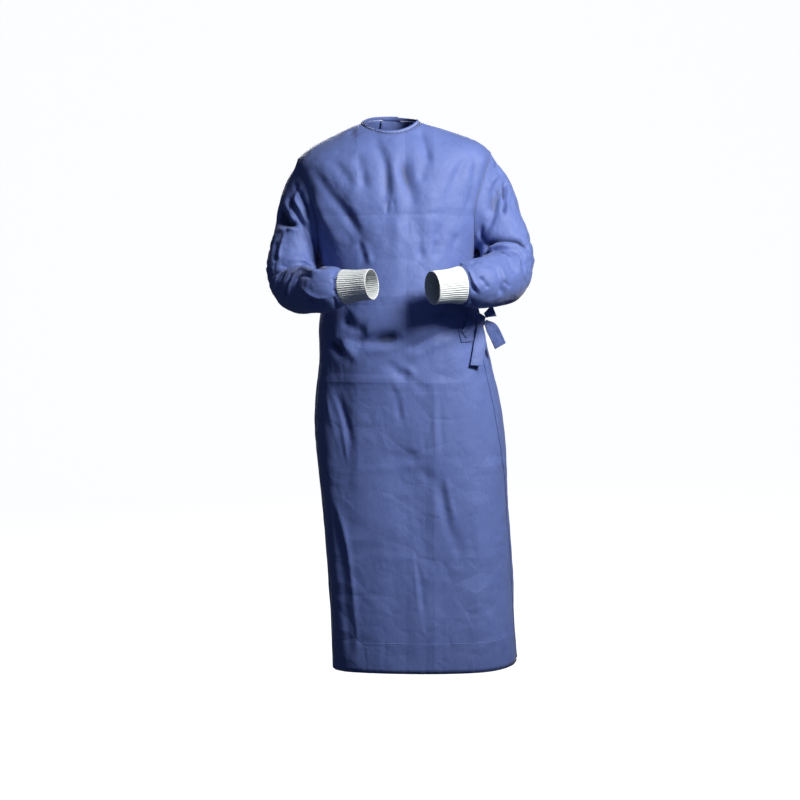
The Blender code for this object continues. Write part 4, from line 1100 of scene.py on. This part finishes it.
def shapeBinding():
    strip = wholeNode("neck_binding", 2)
    points, normals = pointsOf(strip), pointsOf(strip, "normal")
    turn = np.arctan2(points[:, 0] - 0.01, points[:, 1])
    heights = 0.35 * mm * np.sin(turn * 70 + 3 * np.sin(turn * 9))
    moveTo(strip, points + normals * heights[:, None])
    keepNumber(strip, "edgeDistance", np.full(len(points), 50.0))
    keepNumber(strip, "foldDepth", np.zeros(len(points)))
    keepNumber(strip, "hemDistance", np.full(len(points), 500.0))
    placed(strip, "neck_binding", bindingCloth)
    # the thread runs round the strip's outer face, a little above its lower edge
    outer = outerCloth("neck_binding", 0)
    border = pointsOf(outer)
    turns = np.arctan2(border[:, 0] - 0.01, border[:, 1])
    order = np.argsort(turns)
    low, high = [], []
    for group in np.array_split(order, len(order) // 2):
        pair = border[group]
        pair = pair[np.argsort(pair[:, 2])]
        low.append(pair[0])
        high.append(pair[-1])
    low, high = np.array(low), np.array(high)
    bpy.data.objects.remove(outer)
    surface = surfaceOf([strip])
    row = low + binding["up"] * (high - low)
    row = np.array([surface.find_nearest(p)[0] for p in row])
    gap = int(np.argmax(np.linalg.norm(np.diff(row, axis=0), axis=1)))
    row = np.concatenate([row[gap + 1:], row[:gap + 1]])
    threadRow = stitchesAlong("binding_stitches", [row],
                              lambda p: surface.find_nearest(p)[1])


shapeBinding()
print("neck binding ready")


# the ties, their knot, the patch and the neck tape
tieSizes = {  # width and length of what shows of each strip, laid flat, m
    "tie_patch": (0.032, 0.049),
    "tie_front": (0.030, 0.048),
    "tie_wrap": (0.030, 0.044),
    "tie_loop": (0.030, 0.039),
    "tie_tail_front": (0.030, 0.095),
    "tie_tail_back": (0.030, 0.069),
    "neck_tab": (0.050, 0.044),
}
ties = {"thickness": 0.9, "crumple": 0.7}


def shapeStrip(name, material):
    strip = outerCloth(name, 3)
    points, normals = pointsOf(strip), pointsOf(strip, "normal")
    edge = distancesTo(points, borderPoints(strip)) / mm
    heights = ties["crumple"] * mm * crumple(points, 13, 31.0) * eased(edge / 4)
    heights += 0.5 * mm * waves(points, 16, 37.0) * eased(edge / 4)
    keepNumber(strip, "edgeDistance", edge)
    keepNumber(strip, "hemDistance", np.full(len(points), 500.0))
    moveTo(strip, points + normals * np.minimum(heights, 0.1 * mm)[:, None])
    thicken(strip, ties["thickness"])
    placed(strip, name, material)
    return strip


strips = {name: shapeStrip(name, tieCloth) for name in tieSizes if name != "neck_tab"}
strips["neck_tab"] = shapeStrip("neck_tab", tape)


def shapeKnot():
    knot = wholeNode("tie_knot", 3)
    points, normals = pointsOf(knot), pointsOf(knot, "normal")
    middle = points.mean(0)
    x, y, z = ((points - middle) / mm).T
    # two bands of cloth pulled over each other, with pleats along each band
    band = np.sin(0.75 * (z + 0.5 * x))
    pleat = np.sin(1.9 * (x - 0.6 * z) + 0.6 * np.sin(0.8 * z))
    heights = mm * (0.9 * band * (np.abs(x) < 30) + 0.5 * pleat) - 1.1 * mm
    heights += 0.5 * mm * waves(points, 8, 51.0)
    keepNumber(knot, "edgeDistance", np.full(len(points), 50.0))
    keepNumber(knot, "hemDistance", np.full(len(points), 500.0))
    moveTo(knot, points + normals * np.minimum(heights, 0)[:, None])
    placed(knot, "tie_knot", tieCloth)


shapeKnot()
print("ties ready")

bpy.context.view_layer.update()
